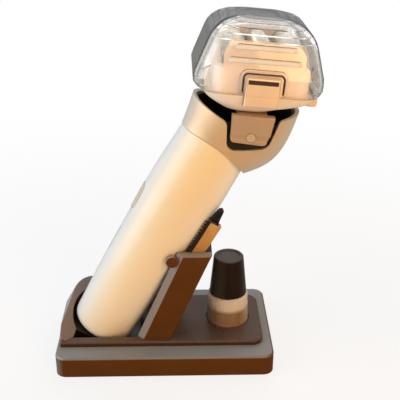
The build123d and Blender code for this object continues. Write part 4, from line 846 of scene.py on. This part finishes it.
@dataclass
class ProtectiveCap:
    """The clear cap over the head, with painted highlights on two ribs and a dark notch edge, partly
    painted shade, on each long face.
    """

    middle: float = -1.1
    ribs: tuple[tuple[float, float, float], ...] = ((13.4, 15.4, 27.32), (18.9, 13.0, 26.42))
    radius: float = 1.0
    rib_depth: float = 0.35
    rib_spread: float = 1.5
    sections: int = 24
    corners: int = 12
    notch_half: float = 8.85
    notch_top: float = 8.1
    notch_bend: float = 2.2
    notch_foot: float = -0.6
    notch_bead: float = 0.45
    notch_deep: float = 27.4
    notch_end: float = 0.06
    notch_legs: int = 12
    notch_turns: int = 9

    def rib(self, up: float, half: float, reach: float, side: int) -> Shape:
        """One rib's painted highlight: a flattened rounded bar on the cap's face.

        Formula: at x along the bar its radius is r sqrt(1 - ((|x| - half + r) / r)^2) near the ends and r
        between them, and its depth off the face is a share of that.

        Args:
            up: Height of its middle.
            half: Half its length.
            reach: Distance of the face from the middle plane.
            side: -1 at the front, 1 at the back.

        Returns:
            Local points and quads.
        """
        x = np.linspace(-1, 1, self.sections)
        x = np.sign(x) * (half - (half * (1 - np.abs(x)) ** self.rib_spread))
        past = np.clip((np.abs(x) - half + self.radius) / self.radius, 0, 1)
        width = self.radius * np.sqrt(1 - past ** 2)
        turn = 2 * np.pi * np.arange(self.corners) / self.corners
        across = np.repeat(self.middle + x, self.corners)
        deep = (width[:, None] * np.sin(turn)[None] * self.rib_depth).ravel()
        high = (width[:, None] * np.cos(turn)[None]).ravel()
        points = np.column_stack([across, side * (reach + deep), up + high])
        return points, ring_quads(self.sections, self.corners)[:, [0, 3, 2, 1]][:, ::side]

    def notch(self, side: int) -> Shape:
        """The thick edge of the notch round one key, drawn dark partly as painted shade, as a bead bent
        up, across and down.

        Formula: the path runs up the left leg, round a quarter circle, along the top, round another and
        down the right leg. A bead's ring stands square to the path, with radius r sqrt(1 - e^2), where e
        goes from nought to one over the last stretch at each end.

        Args:
            side: -1 at the front, 1 at the back.

        Returns:
            Local points and quads.
        """
        half, top, bend, foot = self.notch_half, self.notch_top, self.notch_bend, self.notch_foot
        turn = np.linspace(0, np.pi / 2, self.notch_turns)
        leg = np.linspace(foot, top - bend, self.notch_legs, endpoint=False)
        rise = np.concatenate([leg, top - bend + bend * np.sin(turn)])
        out = np.concatenate([np.full(len(leg), half), half - bend + bend * np.cos(turn)])
        path = np.stack([np.concatenate([-out, out[::-1]]), np.concatenate([rise, rise[::-1]])], axis=-1)
        along = np.gradient(path, axis=0)
        along /= np.linalg.norm(along, axis=1, keepdims=True)
        square = np.stack([-along[:, 1], along[:, 0]], axis=-1)
        place = np.linspace(-1, 1, len(path))
        near_end = np.clip((np.abs(place) - (1 - self.notch_end)) / self.notch_end, 0, 1)
        width = self.notch_bead * np.sqrt(1 - near_end ** 2)
        around = 2 * np.pi * np.arange(self.corners) / self.corners
        flat = path[:, None] + square[:, None] * (width[:, None] * np.cos(around)[None])[..., None]
        deep = side * self.notch_deep + width[:, None] * np.sin(around)[None]
        points = np.stack([flat[..., 0], deep, flat[..., 1]], axis=-1).reshape(-1, 3)
        return points, ring_quads(len(path), self.corners)

    def build(self, wardrobe: Wardrobe) -> None:
        """Dresses the cap, and builds the painted highlights on its ribs and the dark, partly painted,
        edges of its notches.
        """
        wardrobe.dress(CLEAR_PC, "protective_cap")
        ribs = joined([self.rib(*row, side) for side in (-1, 1) for row in self.ribs])
        beads = joined([self.notch(side) for side in (-1, 1)])
        for name, (points, quads), finish in (("cap_rib_highlights", ribs, RIB_HIGHLIGHT_PC),
                                              ("painted_notch_edges", beads, SMOKE_AND_SHADE_EDGE)):
            wardrobe.piece(mesh_of(name, HEAD.place(points), quads, merge=True), finish, "cap")


@dataclass
class CleaningBrush:
    """The cleaning brush: clear block, dark strip with side tufts, and the end tuft."""

    rows: int = 22
    columns: int = 19
    across: tuple[float, float] = (15.6, 20.0)
    along_y: tuple[float, float] = (-14.9, -11.4)
    root_up: float = 78.7
    length: float = 8.3
    crown: float = 1.1
    gather: float = 0.62
    radius: float = 0.085
    sides: int = 4
    rings: int = 5
    jitter: float = 0.2
    uneven: float = 0.9
    sway: float = 0.12
    plate: tuple[Vec, Vec] = ((15.3, -15.1, 78.4), (20.3, -11.2, 79.2))
    side_tufts: int = 15
    side_strands: int = 26
    side_rings: int = 3
    side_run: tuple[float, float] = (53.0, 77.6)
    side_along_y: float = -14.3
    side_root: float = 14.8
    side_reach: float = 1.5
    side_radius: float = 0.55
    side_crown: float = 0.35
    side_uneven: float = 0.1
    side_gather: float = 3.0
    side_sway: float = 0.05
    seed: int = 7

    def tuft(self) -> bpy.types.Mesh:
        """The end tuft in its thin plate.

        Formula: strand (i, j) stands on a jittered grid, leans towards the tuft's middle by the gather,
        and is shortened by crown times the square of its place across.

        Returns:
            The mesh in place.
        """
        rng = np.random.default_rng(self.seed)
        i, j = np.meshgrid(np.arange(self.rows), np.arange(self.columns), indexing="ij")
        share = np.stack([(i.ravel() + 0.5) / self.rows, (j.ravel() + 0.5) / self.columns], axis=-1) - 0.5
        share += rng.uniform(-self.jitter, self.jitter, share.shape) / np.array([self.rows, self.columns])
        size = np.array([self.across[1] - self.across[0], self.along_y[1] - self.along_y[0]])
        middle = np.array([sum(self.across) / 2, sum(self.along_y) / 2])
        count = len(share)
        high = self.length - self.crown * (2 * share[:, 0]) ** 2 - rng.uniform(0, self.uneven, count)
        roots = np.column_stack([middle + share * size, np.full(count, self.root_up)])
        tips = np.column_stack([middle + share * size * self.gather, self.root_up + high])
        tips[:, :2] += rng.uniform(-self.sway, self.sway, (count, 2))
        bow = np.column_stack([rng.uniform(-self.sway, self.sway, (count, 2)), np.zeros(count)])
        strands = tubes(roots, tips, self.radius, self.sides, bow, self.rings)
        points, faces = joined([strands, boxes(*(np.array([corner]) for corner in self.plate))])
        return mesh_of("brush_tuft", GRIP.place(points), faces)

    def comb(self) -> bpy.types.Mesh:
        """The row of short side tufts on the dark strip, which makes its saw-toothed edge.

        Formula: tuft k stands at an equal step along the strip. Its strands start at r sqrt(q) in
        golden-angle turns round the tuft's middle, and draw together towards their tips by the gather.

        Returns:
            The mesh in place.
        """
        rng = np.random.default_rng(self.seed + 1)
        q = (np.arange(self.side_strands) + 0.5) / self.side_strands
        turn = np.arange(self.side_strands) * math.pi * (3 - math.sqrt(5))
        disc = np.stack([np.sqrt(q) * np.cos(turn), np.sqrt(q) * np.sin(turn)], axis=-1) * self.side_radius
        stations = np.linspace(*self.side_run, self.side_tufts)
        roots, tips = [], []
        for station in stations:
            flat = np.full(self.side_strands, self.side_root)
            reach = self.side_reach * (1 - self.side_crown * q) + rng.uniform(
                -self.side_uneven, self.side_uneven, self.side_strands)
            roots.append(np.column_stack([flat, self.side_along_y + disc[:, 0], station + disc[:, 1]]))
            tips.append(np.column_stack([flat - reach, self.side_along_y + disc[:, 0] / self.side_gather,
                                         station + disc[:, 1] / self.side_gather]))
        roots, tips = np.concatenate(roots), np.concatenate(tips)
        count = len(roots)
        bow = np.column_stack([np.zeros(count), rng.uniform(-self.side_sway, self.side_sway, (count, 2))])
        points, faces = tubes(roots, tips, self.radius, self.sides, bow, self.side_rings, across=(1, 2))
        return mesh_of("brush_side_tufts", GRIP.place(points), faces)

    def build(self, wardrobe: Wardrobe) -> None:
        """Dresses the block and the strip, and builds the tufts."""
        wardrobe.dress(BRUSH_PS, "brush_handle")
        wardrobe.dress(BRUSH_STRIP, "brush_strip")
        wardrobe.piece(self.tuft(), NYLON_STRAND, "brush", "brush_bristles")
        wardrobe.piece(self.comb(), NYLON_STRAND, "brush")


@dataclass
class OilBottle:
    """The small oil bottle with its spout and black lid."""

    def build(self, wardrobe: Wardrobe) -> None:
        """Dresses the bottle, oil, spout and lid."""
        wardrobe.dress(BOTTLE_PP, "oil_bottle")
        wardrobe.dress(LIGHT_OIL, "oil_fill")
        wardrobe.dress(SPOUT_PE, "spout_plug")
        wardrobe.dress(LID_PP, "bottle_cap")


@dataclass
class Studio:
    """The camera, lamps, world and floor, with the white that each kind of ray meets."""

    position: Vec = (8.263, -338.704, 238.856)
    pitch: float = 24.78
    yaw: float = 1.662
    roll: float = 0.283
    lens: float = 67.5
    ambient: float = 0.22
    end_turn: tuple[float, float] = (0.35, 0.9)
    end_white: float = 0.4
    floor_reach: float = 3.0
    floor_tone: str = "#f4f3f1"
    mirrored_tone: str = "#5a4a3a"
    shadow_reach: tuple[float, float] = (0.10, 0.45)
    shadow_white: float = 0.78
    mirrored_from: tuple[float, float] = (-0.06, 0.06)
    mirrored_white: float = 0.3
    lamps: tuple = (
        ("left_window", (-0.52, -0.14, 0.28), (0.0, 0.0, 0.09), 0.50, 2.4, "#f0f6ff"),
        ("warm_front", (0.28, -0.50, 0.26), (0.0, 0.0, 0.08), 0.40, 2.3, "#ffc47a"),
        ("back_softbox", (0.15, 0.50, 0.42), (0.0, 0.0, 0.02), 0.70, 2.6, "#f6f8ff"),
    )

    def camera(self) -> None:
        """Sets the camera where the photograph was taken from.

        Formula: forward is (sin yaw cos pitch, cos yaw cos pitch, -sin pitch), right is level, and both
        right and up turn by the roll about forward.
        """
        pitch, yaw, roll = (math.radians(v) for v in (self.pitch, self.yaw, self.roll))
        flat = math.cos(pitch)
        forward = np.array([math.sin(yaw) * flat, math.cos(yaw) * flat, -math.sin(pitch)])
        level = np.array([math.cos(yaw), -math.sin(yaw), 0.0])
        above = np.cross(level, forward)
        right = math.cos(roll) * level + math.sin(roll) * above
        above = -math.sin(roll) * level + math.cos(roll) * above
        data = bpy.data.cameras.new("camera")
        data.lens, data.sensor_width = self.lens, 36.0
        data.clip_start, data.clip_end = 0.01, 20.0
        camera = bpy.data.objects.new("camera", data)
        bpy.context.scene.collection.objects.link(camera)
        turn = Matrix(np.column_stack([right, above, -forward]).tolist()).to_4x4()
        camera.matrix_world = Matrix.Translation([v * MM for v in self.position]) @ turn
        bpy.context.scene.camera = camera

    def light(self) -> None:
        """Adds the soft lamps, and the white world, which mirrors less white from the front and back."""
        for name, place, aim, size, power, colour in self.lamps:
            data = bpy.data.lights.new(name, "AREA")
            data.size, data.energy, data.color = size, power, linear(colour)[:3]
            lamp = bpy.data.objects.new(name, data)
            bpy.context.scene.collection.objects.link(lamp)
            toward = np.array(aim) - np.array(place)
            lamp.location = place
            lamp.rotation_mode = "QUATERNION"
            lamp.rotation_quaternion = Vector(toward.tolist()).to_track_quat("-Z", "Y")
            lamp.visible_glossy = name != "back_softbox"
        world = bpy.data.worlds.new("studio_air")
        bpy.context.scene.world = world
        world.use_nodes = True
        tree = world.node_tree
        tree.nodes.clear()
        seen, glossy = ray_kinds(tree)
        toward = add_node(tree, "VectorMath", {"operation": "DOT_PRODUCT"}, {
            0: add_node(tree, "TexCoord").outputs["Generated"], 1: (0.0, 1.0, 0.0)})
        off_side = combine(tree, "ABSOLUTE", toward.outputs["Value"])
        ends = ranged(tree, off_side, *self.end_turn, 1.0, self.end_white)
        mirrored = combine(tree, "MULTIPLY", glossy, ends)
        strength = combine(tree, "MAXIMUM", combine(tree, "MAXIMUM", seen, mirrored), self.ambient)
        air = add_node(tree, "Background", {}, {"Color": linear("#ffffff"), "Strength": strength})
        add_node(tree, "OutputWorld", {}, {"Surface": air.outputs[0]})

    def floor(self) -> None:
        """Lays the pale floor, which keeps the object's shadow and is white to the camera."""
        corners = np.array([[-1, -1, 0], [1, -1, 0], [1, 1, 0], [-1, 1, 0]]) * self.floor_reach
        mesh = mesh_of("floor", corners, np.array([[0, 1, 2, 3]]), smooth=False)
        floor = bpy.data.objects.new("floor", mesh)
        bpy.context.scene.collection.objects.link(floor)
        material = bpy.data.materials.new("pale_studio_floor")
        material.use_nodes = True
        tree = material.node_tree
        tree.nodes.clear()
        seen, glossy = ray_kinds(tree)
        place = add_node(tree, "TexCoord").outputs["Object"]
        away = add_node(tree, "VectorMath", {"operation": "LENGTH"}, {0: place}).outputs["Value"]
        start, stop = self.shadow_reach
        white_share = add_node(tree, "MapRange", {"interpolation_type": "SMOOTHSTEP"}, {
            "Value": away, "From Min": start, "From Max": stop, "To Min": self.shadow_white}).outputs[0]
        depth = add_node(tree, "SeparateXYZ", {}, {0: place}).outputs[1]
        behind = ranged(tree, depth, *self.mirrored_from, 0.0, self.mirrored_white)
        lit = combine(tree, "MAXIMUM", seen, combine(tree, "MULTIPLY", glossy, behind))
        share = combine(tree, "MULTIPLY", lit, white_share)
        tone = blend(tree, glossy, linear(self.floor_tone), linear(self.mirrored_tone))
        matt = add_node(tree, "BsdfDiffuse", {}, {"Color": tone})
        white = add_node(tree, "Emission", {}, {"Color": linear("#ffffff"), "Strength": 1.0})
        both = add_node(tree, "MixShader", {}, {0: share, 1: matt.outputs[0], 2: white.outputs[0]})
        add_node(tree, "OutputMaterial", {}, {"Surface": both.outputs[0]})
        mesh.materials.append(material)

    def build(self) -> None:
        """Sets up the whole studio with the Standard view."""
        self.camera()
        self.light()
        self.floor()
        bpy.context.scene.view_settings.view_transform = "Standard"


def main() -> None:
    """Builds the studio and every sub-assembly round the frame."""
    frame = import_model()
    Studio().build()
    wardrobe = Wardrobe(frame)
    for part in (Stand(), ShaverBody(), ShaverHead(), FoilCassette(), ProtectiveCap(), CleaningBrush(),
                 OilBottle()):
        part.build(wardrobe)
        LOG.info("finished %s", type(part).__name__)


if __name__ == "__main__":
    logging.basicConfig(level=logging.INFO)
    main()
